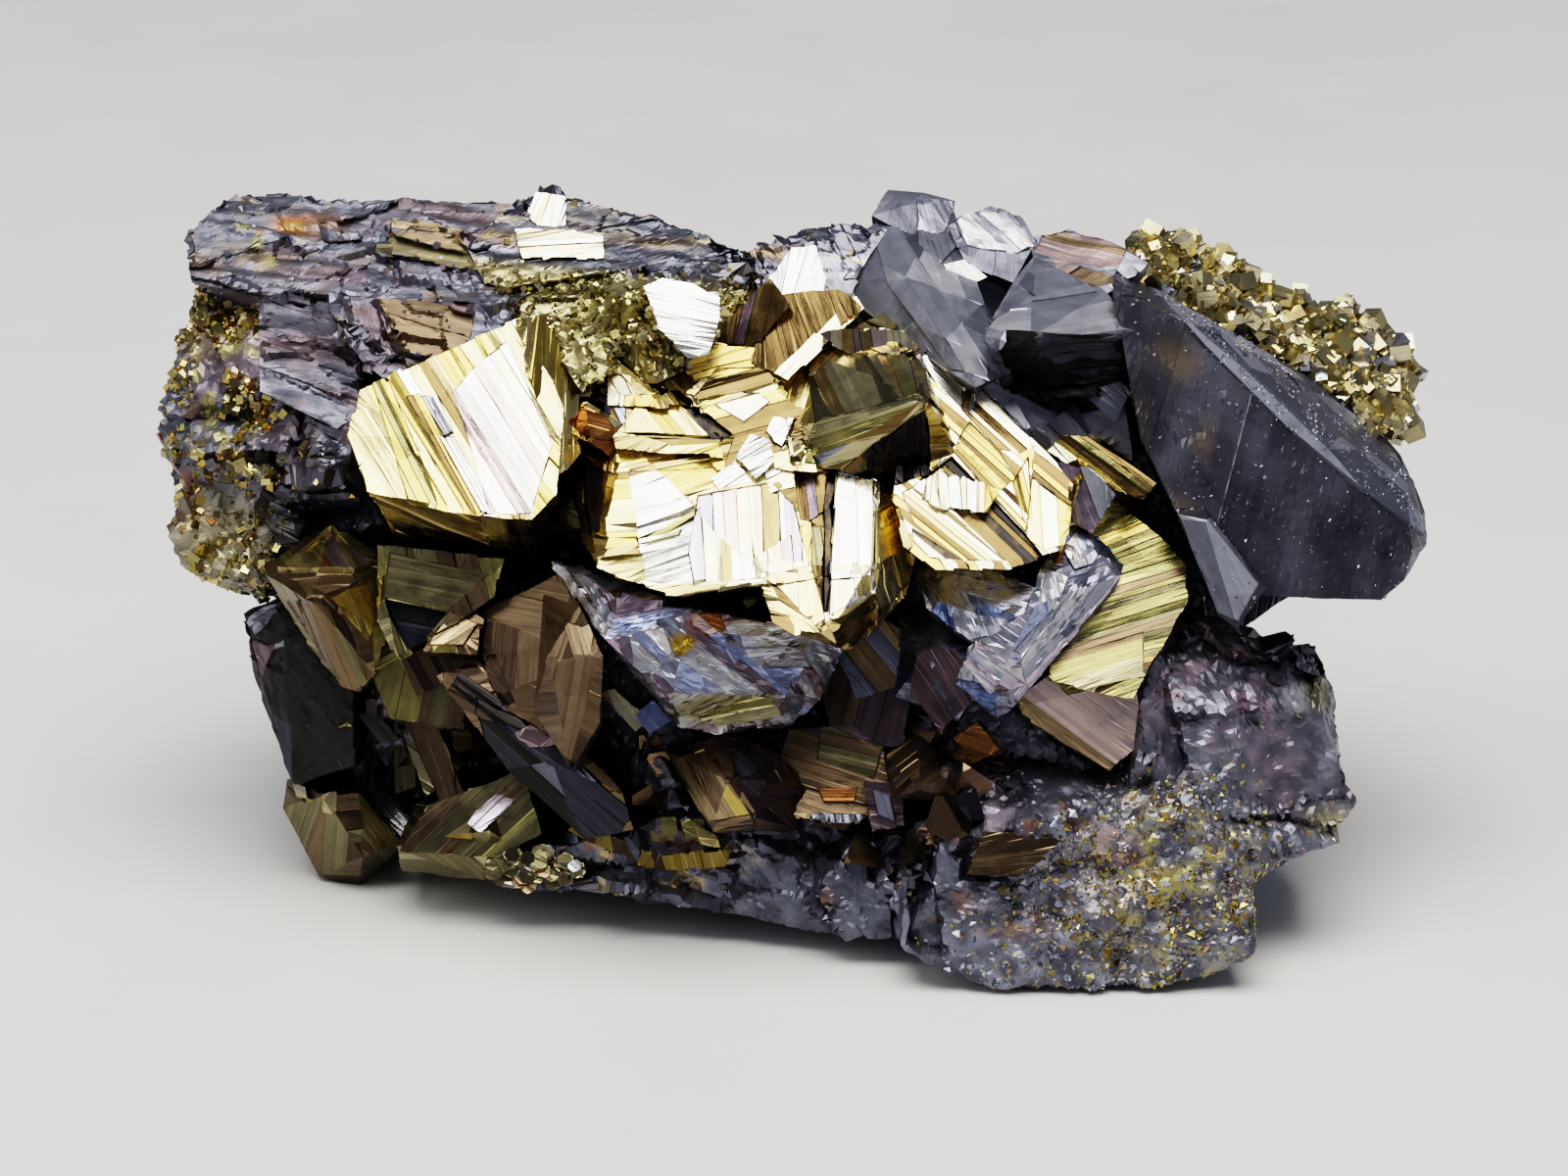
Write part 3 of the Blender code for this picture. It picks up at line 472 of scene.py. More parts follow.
def number_facets(shape, layer):
    """Gives the faces that lie in one plane and touch the same number. Returns the facets."""
    facets = []
    for face in shape.faces:
        face[layer] = -1
    for face in shape.faces:
        todo, members = [face], []
        while todo:
            current = todo.pop()
            if current[layer] >= 0:
                continue
            current[layer] = len(facets)
            members.append(current)
            for edge in current.edges:
                todo.extend(
                    other for other in edge.link_faces
                    if other[layer] < 0 and other.normal.angle(face.normal, NO_ANGLE) < FLAT
                )
        if members:
            facets.append(facet_of(members))
    return facets


def bisected(shape, faces, place, normal):
    """Cuts the faces along a plane. Returns those under it and those over it."""
    edges = list({edge for face in faces for edge in face.edges})
    verts = list({vert for face in faces for vert in face.verts})
    cut = bmesh.ops.bisect_plane(
        shape, geom=faces + edges + verts, dist=CUT, plane_co=place, plane_no=normal,
    )
    under, over = [], []
    for item in cut["geom"]:
        if isinstance(item, bmesh.types.BMFace):
            side = (item.calc_center_median() - place).dot(normal)
            (under if side < 0 else over).append(item)
    return under, over


def sight_planes(outline, inset):
    """Planes through the eye along the sides of an outline, facing out and moved in by inset, mm."""
    middle = Vector(middle_of(outline))
    planes = []
    for first, second in zip(outline, outline[1:] + outline[:1]):
        first, second = Vector(first), Vector(second)
        inward = Vector((first.y - second.y, second.x - first.x)).normalized()
        if inward.dot(middle - first) < 0:
            inward = -inward
        corner_a = spot(*(first + inward * inset), 0)
        corner_b = spot(*(second + inward * inset), 0)
        normal = (corner_a - EYE_POINT).cross(corner_b - EYE_POINT).normalized()
        if normal.dot(spot(*middle, 0) - EYE_POINT) > 0:
            normal = -normal
        planes.append(normal)
    return planes


def inside_of(shape, faces, planes):
    """The parts of the faces that lie inside all the planes, and those outside."""
    outside = []
    for normal in planes:
        if not faces:
            break
        faces, over = bisected(shape, faces, EYE_POINT, normal)
        outside += over
    return faces, outside


def cut_patch(shape, layer, facets, marked):
    """Cuts a patch out of the facets that face the eye there, with a narrow rim around it."""
    outer = sight_planes(marked["outline"], 0)
    inner = sight_planes(marked["outline"], RIM)
    for facet in list(facets):
        toward = (EYE_POINT - facet["centre"]).normalized()
        if facet["loose"] or facet["normal"].dot(toward) < FACING or not facet["faces"]:
            continue
        u, v, w = seen_at([vert.co for face in facet["faces"] for vert in face.verts])
        across, up = zip(*marked["outline"])
        if max(u) < min(across) or min(u) > max(across) or max(v) < min(up) or min(v) > max(up):
            continue
        inside, facet["faces"] = inside_of(shape, facet["faces"], outer)
        if not inside:
            continue
        heart, rim = inside_of(shape, inside, inner)
        for faces, loose in ((heart, False), (rim, True)):
            if faces:
                for face in faces:
                    face[layer] = len(facets)
                known = {key: marked[key] for key in ("style", "lift", "rake")}
                facets.append(facet_of(faces, normal=facet["normal"], loose=loose, kept=True, **known))


def growth_profile(low, high, style, dice):
    """Heights across one face: where each line starts, its height there and each line's colour."""
    places, heights, tints = [low], [dice.uniform(0, style["relief"])], []
    while places[-1] < high:
        end = places[-1] + style["band"] * dice.uniform(*BAND_SPREAD)
        lean = dice.gauss(0, style["tilt"])
        tint = dice.choice(style["tints"])
        while places[-1] < end:
            width = dice.uniform(*style["line"])
            slope = lean + dice.gauss(0, style["ripple"])
            places.append(places[-1] + width)
            heights.append(heights[-1] + slope * width)
            tints.append(tint * dice.uniform(*LINE_SHADES))
        places.append(places[-1] + RISER)
        heights.append(dice.uniform(0, style["relief"]))
        # Painted shade: the step between two bands is darker than its band
        tints.append(tint * dice.uniform(1 - style["dark"], 1))
    return places, heights, tints


def cut_facet(shape, facet, style, strip_layer, strips, dice):
    """Cuts a facet along its growth lines and gives each strip its number."""
    along = line_direction(facet["normal"], facet["centre"], style["lines"])
    across = facet["normal"].cross(along).normalized()
    reach = [vert.co.dot(across) / MM for face in facet["faces"] for vert in face.verts]
    places, heights, tints = growth_profile(min(reach) - LINES_START, max(reach), style, dice)
    facet["across"] = across
    facet["profile"] = (places, heights)
    todo = facet["faces"]
    for index, place in enumerate(places[1:]):
        dull = style["dull"] + dice.uniform(-DULL_SPREAD, DULL_SPREAD)
        strips.append((tints[index], across, dull, style["rough"], facet["kept"]))
        under, todo = bisected(shape, todo, across * place * MM, across)
        for face in under:
            face[strip_layer] = len(strips) - 1
        if not todo:
            break


def height_at(facet, place):
    """How far a facet has grown at a place, in metres."""
    height = facet["lift"]
    if facet["rake"] != (0, 0):
        away = (place - facet["centre"]) / MM
        height += away.dot(RIGHT) * facet["rake"][0] + away.dot(UP) * facet["rake"][1]
    if "profile" in facet:
        places, heights = facet["profile"]
        height += float(np.interp(place.dot(facet["across"]) / MM, places, heights))
    return GROW + height * MM


def grow_out(shape, layer, facets):
    """Moves every corner out so that each facet it touches stands at its own height."""
    moves = []
    for vert in shape.verts:
        touched = sorted({face[layer] for face in vert.link_faces})
        firm = [index for index in touched if not facets[index]["loose"]]
        touched = firm or touched
        if len(touched) == 1:
            facet = facets[touched[0]]
            moves.append(facet["normal"] * height_at(facet, vert.co))
            continue
        normals = np.array([facets[index]["normal"] for index in touched])
        heights = np.array([height_at(facets[index], vert.co) for index in touched])
        damped = normals.T @ normals + DAMPING * np.eye(3)
        move = Vector(np.linalg.solve(damped, normals.T @ heights))
        most = STRETCH * max(abs(heights))
        moves.append(move if move.length < most else move.normalized() * most)
    for vert, move in zip(shape.verts, moves):
        vert.co += move


def styled_facets(shape, layer, facets, chosen):
    """Gives the facets that the eye sees at the chosen places their looks."""
    shape.faces.index_update()
    shape.faces.ensure_lookup_table()
    tree = BVHTree.FromBMesh(shape)
    for place, style in chosen:
        index = tree.ray_cast(EYE_POINT, spot(*place, 0) - EYE_POINT)[2]
        facets[shape.faces[index][layer]]["style"] = style


def random_look(own, dice):
    """A face without a look of its own: its body's, with lines that run some way."""
    way = dice.uniform(*LINE_WAYS)
    return dict(own, lines=(1, way) if dice.random() < ALONG_SHARE else (way, 1))


def is_open(facet):
    """Whether anything of a facet shows."""
    probes = [face.calc_center_median() for face in facet["faces"]]
    probes += [vert.co.lerp(facet["centre"], INWARD) for face in facet["faces"] for vert in face.verts]
    return any(in_the_open(probe, facet["normal"]) for probe in probes)


def lined_shape(name, shape, plan):
    """Cuts a body's faces along their growth lines and grows them.

    Returns the number of each triangle's strip, and each strip's colour, direction and roughness.
    """
    dice = random.Random(name)
    layer = shape.faces.layers.int.new("facet")
    strip_layer = shape.faces.layers.int.new("strip")
    chip_layer = shape.faces.layers.int.get("chip")
    facets = number_facets(shape, layer)
    styled_facets(shape, layer, facets, plan.get("faces", []))
    for marked in plan.get("patches", []):
        cut_patch(shape, layer, facets, marked)
    strips = []
    for facet in facets:
        if not facet["faces"]:
            continue
        style = own_look(facet, plan, chip_layer, dice)
        showing = is_open(facet)
        if showing and not facet["loose"] and facet["area"] > LEAST_AREA:
            cut_facet(shape, facet, style, strip_layer, strips, dice)
            continue
        rough = style["rough"] if showing else -1.0
        # Painted shade on covered and tiny facets and on the rims of patches
        shade = style["tints"][0] * COVERED_SHADE
        strips.append((shade, facet["normal"].orthogonal(), style["dull"], rough, False))
        for face in facet["faces"]:
            face[strip_layer] = len(strips) - 1
    grow_out(shape, layer, facets)
    bmesh.ops.triangulate(shape, faces=shape.faces)
    return np.array([face[strip_layer] for face in shape.faces]), strips


def own_look(facet, plan, chip_layer, dice):
    """The look that a facet was given, or else its small crystal's or its body's."""
    if facet["style"]:
        return facet["style"]
    if "chips" in plan:
        return plan["chips"][facet["faces"][0][chip_layer]]
    return random_look(plan["own"], dice)


def chip(outline, style, lift=0.5, lean=(0, 0), deep=2.5, at=None):
    """A small crystal whose front has an outline and stands lift out of the surface that the eye sees.

    Its front leans to the right and up by lean, and it reaches deep behind the front, in millimetres.
    """
    at = at or middle_of(outline)
    return {"outline": outline, "style": style, "lift": lift, "lean": lean, "deep": deep, "at": at}


def chips_piece(name, chips):
    """Small crystals that sit on the larger ones, each with its own look."""
    shape = bmesh.new()
    layer = shape.faces.layers.int.new("chip")
    for number, made in enumerate(chips):
        u0, v0 = made["at"]
        depth = depth_at(u0, v0)
        if depth is None:
            continue
        across, up = made["lean"]
        front = [
            spot(u, v, depth + made["lift"] + across * (u - u0) + up * (v - v0)) for u, v in made["outline"]
        ]
        middle = sum(front, Vector()) / len(front)
        back = [middle.lerp(corner, TAPER) - OUT * made["deep"] * MM for corner in front]
        hull = bmesh.ops.convex_hull(shape, input=[shape.verts.new(corner) for corner in front + back])
        for item in hull["geom"]:
            if isinstance(item, bmesh.types.BMFace):
                item[layer] = number
    bmesh.ops.dissolve_limit(shape, angle_limit=FLAT, verts=shape.verts, edges=shape.edges)
    bmesh.ops.recalc_face_normals(shape, faces=shape.faces)
    return crystal_piece(name, shape, {"chips": [made["style"] for made in chips]})


def crystal_piece(name, shape, plan):
    """A body of crystals with growth lines on its open faces."""
    numbers, strips = lined_shape(name, shape, plan)
    points, triangles = arrays_of(shape)
    shape.free()
    tints, grains, dulls, rough, kept = (np.array(column) for column in zip(*strips))
    rough = rough[numbers]
    if "breaks" in plan:
        points, triangles, origin = rock_refined(points, triangles, rough >= 0, plan["edge"])
    else:
        points, triangles, origin = refined(points, triangles, rough >= 0, plan.get("edge", CRYSTAL_EDGE))
    numbers, rough = numbers[origin], rough[origin]
    hidden = points_of(triangles[rough < 0], len(points))
    points = broken(points, triangles, hidden, plan.get("breaks", []))
    amount = np.zeros(len(points))
    np.maximum.at(amount, triangles.ravel(), np.repeat(np.maximum(rough, 0), 3))
    rise = np.where(hidden, 0, amount * plan.get("rise", crystal_rise)(points))
    points = points + point_normals(points, triangles) * rise[:, None] * MM
    points[:, 2] = np.maximum(points[:, 2], 0)
    tints = tints[numbers]
    # A plan's stain colours; the charcoal crystal's also hold painted shade under the slate wedge
    if "stain" in plan:
        stained_and_shaded = plan["stain"](points[triangles].mean(axis=1), tints)
        tints = np.where(kept[numbers, None], tints, stained_and_shaded)
    obj = mesh_object(name, points, triangles)
    paint(obj, tints, grains[numbers], dulls[numbers])
    SURFACES[name] = (points, triangles, rough >= 0)
    return obj


def crystal_rise(points):
    """A crystal face's faint waves, in millimetres."""
    return 0.16 * noise(points, 5 * MM, 3) + 0.035 * noise(points, 1.8 * MM, 5)


# Broken rock


def open_triangles(points, triangles):
    """Which triangles have nothing close over them."""
    normals = unit(face_crosses(points, triangles))
    middles = points[triangles].mean(axis=1)
    return np.array([in_the_open(Vector(m), Vector(n)) for m, n in zip(middles, normals)])


def ore_piece():
    """The ore: its solid refined where it shows, and broken up."""
    shape = clean_shape("ore")
    bmesh.ops.triangulate(shape, faces=shape.faces)
    points, triangles = arrays_of(shape)
    shape.free()
    points, triangles, _ = refined(points, triangles, open_triangles(points, triangles), ORE_EDGE)
    seen = open_triangles(points, triangles)
    points, triangles, origin = rock_refined(points, triangles, seen, ROCK_EDGE)
    seen = seen[origin]
    hidden = points_of(triangles[~seen], len(points))
    grainy = in_druse(points) > 0.5
    points = broken(points, triangles, hidden | grainy, ORE_BREAKS)
    points = laid_flat(points, point_normals(points, triangles), hidden, ORE_FACES)
    points = broken(points, triangles, hidden, FINE_BREAKS)
    normals = point_normals(points, triangles)
    rise = np.where(hidden, 0.0, ore_rise(points))
    points = points + normals * (rise[:, None] * MM + GROW)
    points[:, 2] = np.maximum(points[:, 2], 0)
    middles = points[triangles].mean(axis=1)
    obj = mesh_object("ore_rock", points, triangles)
    across = np.tile((0.3, 0.2, 0.93), (len(middles), 1))
    paint(obj, ore_stain(middles), across, 0.08 * noise(middles, 1.6 * MM, 61))
    SURFACES["ore"] = (points, triangles, seen)
    return obj


def blend(mask, colour, onto):
    """The colours with a named one laid over them where the mask is high."""
    mask = np.clip(mask, 0, 1)[:, None]
    return onto * (1 - mask) + np.array(COLOURS[colour]) * mask


def in_front(w, start=-16):
    """0 behind that depth and 1 from 6 mm before it."""
    return np.clip((w - start) / 6, 0, 1)


def around(points, at, size):
    """1 at a place of the picture and 0 beyond size from it, on the side that faces the eye."""
    u, v, w = seen_at(points)
    away = np.hypot((u - at[0]) / size[0], (v - at[1]) / size[1])
    return np.clip(1.6 - 1.6 * away, 0, 1) * in_front(w)


def in_druse(points):
    """1 in the grainy druse at the lower right and 0 away from it."""
    u, v, w = seen_at(points)
    along = (v - 2) * 0.9 - (u - 26) * 0.25
    return np.clip(2.6 - 2.6 * np.hypot((u - 25) / 14, along / 9.5), 0, 1) * in_front(w)


# Flat breaks of the ore, as the eye sees them
ORE_FACES = [
    [(30.5, 14), (36, 15.4), (38.6, 15.9), (42.2, 9.8), (36.5, 8.6), (31, 9.5)],
    [(34, 20.8), (37.6, 20.6), (40, 18.6), (38.4, 16.1), (33.6, 16.2)],
    [(27, 22), (31.5, 23.4), (34, 21), (33, 15.8), (28.2, 16)],
    [(25.6, 19.8), (27.4, 20), (29.6, 12), (27.6, 9.6), (26.2, 13.6)],
    [(31, 9.3), (36, 8.4), (41.6, 8.7), (41, 6.2), (34, 5.6), (32, 6.8)],
    [(13.4, 12.4), (16.6, 12.8), (18.6, 7.8), (13, 6.2)],
    [(17, 12.8), (21, 12), (22.8, 9.4), (19, 7.8)],
    [(13, 6), (15.8, 7.6), (19.8, 6.4), (17, 3.6), (12.6, 3.6)],
    [(-44, 44), (-41.6, 44.4), (-40.8, 41.4), (-43.8, 41)],
    [(-45, 37), (-39, 38), (-33, 35), (-33, 33.4), (-39, 35.6), (-45, 35.4)],
    [(-20, 6), (-10, 4.6), (-10, 2.8), (-21, 4)],
    [(-3, 6), (1, 5.6), (1, 2.6), (-3, 3)],
    [(6, 8.4), (8.6, 8), (11, 2.4), (8, 1.6), (6, 4)],
]


def ore_rise(points):
    """The ore's broken relief, in millimetres."""
    rise = 0.3 * shards(points, 1.2 * MM, 23, 0.4, 0.4) + 0.1 * noise(points, 0.75 * MM, 27)
    rise += around(points, *LEFT_DRUSE) * (0.6 * noise(points, 1.3 * MM, 41) - 0.2)
    rise += in_druse(points) * (0.7 * noise(points, 2.6 * MM, 45) + 0.3 * noise(points, 0.9 * MM, 43))
    return rise


def clouded(tints, layers, mask=1.0):
    """Lays colours on in clouds, each of colour, points, size in millimetres, seed, base and gain."""
    for colour, points, size, seed, base, gain in layers:
        tints = blend(mask * (base + gain * noise(points, size * MM, seed)), colour, tints)
    return tints


# Blooms of colour on the ore: colour, place, base, share of the clouds and of the fine grain
ORE_BLOOMS = [
    ("steel", ((33, 15), (14, 13)), 0.3, 0.9, 0),
    ("mauve", ((32, 16), (12, 11)), 0.2, 0, 1.1),
    ("silver", ((37.6, 17), (1.6, 1.4)), 1.2, 0, 0),
    ("khaki", ((39, 17.4), (1.2, 1.6)), 1.2, 0, 0),
    ("brass", ((40, 8), (3, 1.4)), 0.6, 0, 0),
    ("orange", ((14, 12.8), (2.4, 2)), 0.8, 0, 1),
    ("rust", ((17, 0.6), (4, 1.6)), 0.6, 0, 1.4),
    ("lilac", ((15, 9), (3, 4)), 0.7, 0, 1),
    ("mauve", LEFT_DRUSE, 0.45, 0.7, 0),
    ("tan", ((-42, 44), (5, 3)), 0.7, 0, 0),
    ("olive", LEFT_DRUSE, -0.2, 0, 1.6),
    ("brass", ((-41, 28), (6, 5)), 0.7, 0, 0),
    ("steel", in_druse, 0.3, 0, 0.8),
    ("olive", ((28.5, 3), (8, 9)), 0.2, 0, 1.4),
    ("gold", ((-10, 5), (9, 3)), -0.4, 0, 1.6),
]


def ore_stain(points):
    """The ore's colours: slate and plum, with gold in the druses and a rusty bloom here and there."""
    tints = np.tile(np.array(COLOURS["slate"]), (len(points), 1))
    cloud = noise(points, 5 * MM, 51)
    fine = noise(points, 1.1 * MM, 53)
    tints = blend(0.7 * cloud + 0.4 * fine, "steel", tints)
    tints = clouded(tints, [("plum", points, 7, 57, -0.1, 0.9), ("rust", points, 2.4, 59, -0.95, 1.8)])
    for colour, place, base, clouds, grain in ORE_BLOOMS:
        mask = place(points) if callable(place) else around(points, *place)
        tints = blend(mask * (base + clouds * cloud + grain * fine), colour, tints)
    return tints * (0.85 + 0.4 * fine)[:, None]


def slab_rise(points):
    """Ragged streaks that run down to the right, in millimetres."""
    streaks = stretched(points, STREAK, 7)
    rise = 0.34 * shards(streaks, 1.5 * MM, 71, 0.35, 0.25) + 0.12 * noise(streaks, 0.7 * MM, 73)
    return rise + 0.08 * noise(points, 0.9 * MM, 75)


def slab_stain(points, tints):
    """Slate and steel streaks, with a rusty bloom and a blue one at the upper left corner."""
    streaks = stretched(points, STREAK, 6)
    tints = clouded(tints, [
        ("slate", streaks, 1.4, 81, 0.45, 0.9), ("steel", streaks, 0.9, 83, 0, 0.7),
        ("mauve", streaks, 2.2, 85, -0.45, 1.3), ("bronze", points, 1.6, 86, -0.6, 1.5),
    ])
    corner = around(points, (-38, 50), (4, 2.6))
    tints = clouded(tints, [("periwinkle", points, 1.3, 89, -0.6, 1.8)], corner)
    bloom = 0.5 + 0.9 * noise(points, 1.2 * MM, 88)
    tints = blend(around(points, (-34.5, 51.6), (3.6, 1.1)) * bloom * 1.5, "rust", tints)
    tints = blend(around(points, (-33.4, 51), (1.6, 0.9)) * bloom * 1.4, "orange", tints)
    return clouded(tints, [("olive", points, 1.1, 87, -0.1, 1.6)], around(points, (-37.5, 50), (4, 4)))


def crest_rise(points):
    """Grains below and streaks along the ridge, in millimetres."""
    streaks = stretched(points, STREAK, 6)
    upper = ridge_part(points)
    grain = 0.16 * noise(points, 1.1 * MM, 91) + 0.07 * noise(points, 0.55 * MM, 93)
    streak = 0.2 * shards(streaks, 1.5 * MM, 94, 0.3, 0.2) + 0.1 * noise(streaks, 0.7 * MM, 92)
    return grain * (1 - 0.7 * upper) + upper * streak


def ridge_part(points):
    """1 on the crest's streaky ridge and 0 on its grainy slope."""
    u, v, w = seen_at(points)
    return np.clip((v - 47.6 + 0.12 * (u + 15)) / 1.4, 0, 1)


def crest_stain(points, tints):
    """Olive and brass below, and slate with bright streaks along the ridge."""
    streaks = stretched(points, STREAK, 6)
    upper = ridge_part(points)
    tints = clouded(tints, [("olive", points, 2.2, 95, 0.3, 0.7), ("brass", points, 1.2, 97, 0.2, 0.9)])
    tints = blend(upper * 1.5, "slate", tints)
    return clouded(tints, [
        ("steel", streaks, 1.6, 98, -0.2, 1.3), ("lilac", streaks, 1.1, 99, -0.4, 1.2),
        ("bronze", streaks, 1.4, 96, -0.5, 1.5), ("pale_gold", streaks, 1.2, 94, -1, 1.8),
    ], upper)


def charcoal_rise(points):
    """Broad slanting flakes, in millimetres."""
    streaks = stretched(points, RIGHT * 0.75 - UP * 0.6, 5)
    return 0.35 * shards(streaks, 2.6 * MM, 101, 0.2, 0.2) + 0.06 * noise(streaks, 0.8 * MM, 103)


def on_the_bevel(points):
    """High on the charcoal crystal's bevel and almost 0 elsewhere."""
    u, v, w = seen_at(points)
    return 0.04 + within(u, v, BEVEL) * (0.2 + 0.8 * noise(points, 1.2 * MM, 108))


def charcoal_stain_and_shade(points, tints):
    tints = clouded(tints, [("slate", points, 3, 105, 0.05, 0.5)])
    tints = clouded(tints, [("bronze", points, 2, 106, 0.2, 0.9)], around(points, (28.4, 37), (3.4, 8)))
    # Painted shade: black where the slate wedge overhangs the crystal
    return blend(around(points, (19.5, 36), (7, 4)) * 2, "black", tints)


def slate_rise(points):
    """Smooth uneven waves, in millimetres."""
    return 0.3 * noise(points, 5 * MM, 121) + 0.09 * noise(points, 1.4 * MM, 123)


def slate_stain(points, tints):
    return clouded(tints, [("slate", points, 3, 125, 0.2, 0.9), ("silver", points, 1.1, 127, -0.75, 1.4)])


def rainbow_rise(points):
    """Small broken facets, in millimetres."""
    return 0.3 * shards(points, 1.6 * MM, 111, 0.4, 0.3) + 0.1 * noise(points, 0.7 * MM, 113)


def rainbow_stain(points, tints):
    """A few blooms of colour."""
    for colour, middle, reach, mask in (
        ("rust", (-5.6, 22.6), (2.2, 1.2), 0.9), ("periwinkle", (-3.8, 20.8), (1.6, 1.2), 0.8),
        ("deep_gold", (-7.4, 21), (1.2, 0.9), 1.2), ("bronze", (-15.5, 22), (2.4, 5), 0.8),
        ("khaki", (-4.5, 16.2), (6, 1.6), 1.2),
    ):
        tints = blend(around(points, middle, reach) * mask, colour, tints)
    return tints


# The looks of each body's faces

# The white tints in these looks are painted highlight, the lamp's glare on the faces
CENTRAL = [
    patch([(-6.3, 31.6), (-1, 32.6), (0.7, 31), (1.9, 26.6), (-1.5, 25.7), (-6.6, 25.1), (-7, 27.5)],
          look("white_gold*4 white*3 lilac*2 pink*2 honey", (0.06, -1), 0.5, 0.08, 0.07, 0.04)),
    patch([(0.7, 33.3), (3.2, 33.3), (3, 29.5), (1.2, 29.8)],
          look("umber*2 mauve umber", (0.15, -1), 0.5, 0.1, 0.05, 0.03), -0.25, (0.2, 0)),
    patch([(1.2, 29.8), (3, 29.5), (2.9, 23.2), (2.2, 23), (2.1, 26.5)],
          look("umber*3 khaki", (0.15, -1), 0.5, 0.1, 0.05, 0.03), -0.3, (0.25, 0)),
    # Painted shade: a black sunk groove between the crystal's dark side and its pale face
    patch([(3.1, 33.3), (3.9, 33.3), (3.5, 28), (3.3, 23.2), (2.9, 23.2), (2.95, 29.5)],
          look("black*3", (0.05, -1), 1, 0.1, 0.05, 0.03), -0.5),
    patch([(3.9, 33.3), (6.6, 32.8), (6.4, 24.8), (3.3, 22.9), (3.5, 28)],
          look("white*3 white_gold*3 pale_gold",
               (0.03, -1), 1.1, 0.05, 0.04, 0.02, dark=0.25), 0, (0.04, 0)),
    # The flank's gold and brass are its own; their brightness is painted light on a face turned away from
    # the lamps
    patch([(6.6, 32.8), (8.3, 31), (9.4, 28), (9.2, 26), (8.4, 24.3), (6.6, 22.3), (6.5, 25)],
          look("pale_gold*3 gold*2 brass", (0.35, -1), 1, 0.06, 0.04, 0.02), 0, (-0.2, 0)),
    patch([(3.1, 22.3), (6.4, 24.6), (6.6, 22.3), (5.2, 20.9), (4, 20.7)],
          look("honey*2 umber*2", (1, 0.6), 0.6, 0.08, 0.05), 0, (-0.3, 0.2)),
    patch([(-11, 28.4), (-6.3, 30.7), (-6.4, 30.1), (-8.5, 29)],
          look("olive*2 khaki", (1, 0.4), 0.6, 0.05, 0.04), -0.12, (0, 0.35)),
    patch([(-11.4, 27.9), (-7.4, 29.3), (-7.6, 28.8)],
          look("brass*2 pale_gold", (1, 0.4), 0.6, 0.05, 0.04), -0.08, (0, 0.3)),
    patch([(-12.2, 35.9), (-3.6, 35.9), (-4.4, 33.6), (-12.4, 33.2)],
          look("pale_gold*2 gold*4 honey*2", (1, 0.22), 0.5, 0.12, 0.08, 0.05)),
    patch([(-12, 36.2), (-4.4, 35.9), (-4.6, 35.5), (-8, 35.2)],
          look("umber*3", (1, 0.05), 0.4, 0.1, 0.08, 0.05), -0.25),
    patch([(-15, 36.1), (-12.3, 35.7), (-13.3, 29), (-14.1, 28.8)],
          look("umber*2 steel mauve", (0.1, -1), 0.9, 0.1, 0.05, 0.03)),
    patch([(-14.9, 35.3), (-12.7, 34.2), (-12.9, 33.4), (-14.4, 33.8)],
          look("honey*2 pink", (1, -0.4)), 0.1),
]

TOP_STEPS = [
    patch([(-14.2, 41), (-11.8, 40.4), (-10.2, 38.7), (-12.2, 36.2), (-13.6, 38.6)],
          look("white_gold*2 lilac*2 gold*2 umber*2 periwinkle", (0.45, -1), 0.4, 0.12, 0.08, 0.04)),
    patch([(-11.6, 38.9), (-8.6, 39.1), (-5.2, 35.9), (-11.6, 36.1)],
          look("gold*4 pale_gold*3 honey", (0.8, -1), 1.2, 0.06, 0.05, 0.04)),
    patch([(-15.9, 37), (-14.6, 38.1), (-12.9, 37.3), (-12.2, 36.2), (-12.8, 34.7), (-15, 36.3)],
          look("orange*3 rust", (1, -0.3), 1.2, 0.08, 0.05, 0.03)),
    # Painted shade: black sunk lines in the gaps between the steps
    patch([(-13.5, 42.4), (-12.7, 42.3), (-8.4, 39.2), (-8.9, 38.9)], look("black*2 umber"), -0.6),
    patch([(-8.4, 39.2), (-7.7, 39.2), (-3.7, 36.1), (-5.2, 35.8)], look("black umber*2"), -0.6),
    patch([(-6.6, 38.9), (-4.9, 41), (-1, 41), (-0.7, 39.9), (-6, 38.4)],
          look("gold*3 pale_gold*2 umber*3", (1, 0.26), 0.36, 0.16, 0.1, 0.05)),
    patch([(-5.2, 38.3), (-2, 39.2), (-0.9, 38.4), (-2.9, 36.9)],
          look("white_gold*2 pale_gold*2 honey", (1, 0.26), 0.6, 0.1, 0.08, 0.05), 0.1),
    # Painted highlight: a white patch of glare on the steps
    patch([(-1.6, 35.9), (-0.8, 37.3), (1.2, 37.2), (0.7, 36.3), (0, 34.2), (-0.8, 35.4)],
          look("white*3", (1, 0.6), 1, 0.06, 0.05), 0.45, (0.1, 0.1)),
    patch([(0.1, 35.9), (0.8, 36), (1.6, 34.7), (1.3, 34), (0.4, 34.1)],
          look("brass olive", (1, 0.6), 1, 0.06, 0.05), 0.5, (0.2, -0.1)),
    patch([(2.3, 37), (1.8, 40.2), (3.8, 41.9), (9, 41.9), (9.7, 38.9)],
          look("khaki*2 olive*3 brass*2 honey", (0.5, -1), 0.7, 0.12, 0.06, 0.05), 0, (0, 0)),
    patch([(2.3, 37), (9.7, 38.9), (10.3, 38.3), (7.2, 36), (4.2, 33.7), (1.5, 34), (1.7, 35.4)],
          look("brass*2 olive*4 umber steel", (1, 0.32), 0.8, 0.1, 0.05, 0.03), 0, (0.03, -0.1)),
    # Painted shade: the face under the house crystal's apex edge faces down and is painted near black
    patch([(4.2, 33.7), (7.2, 36), (10.3, 38.3), (10.7, 33.2), (8.2, 32.3), (6.6, 32.9)],
          look("black*4 umber khaki", (0.02, -1), 0.45, 0.2, 0.12, 0.05), -0.1, (-0.1, 0)),
]
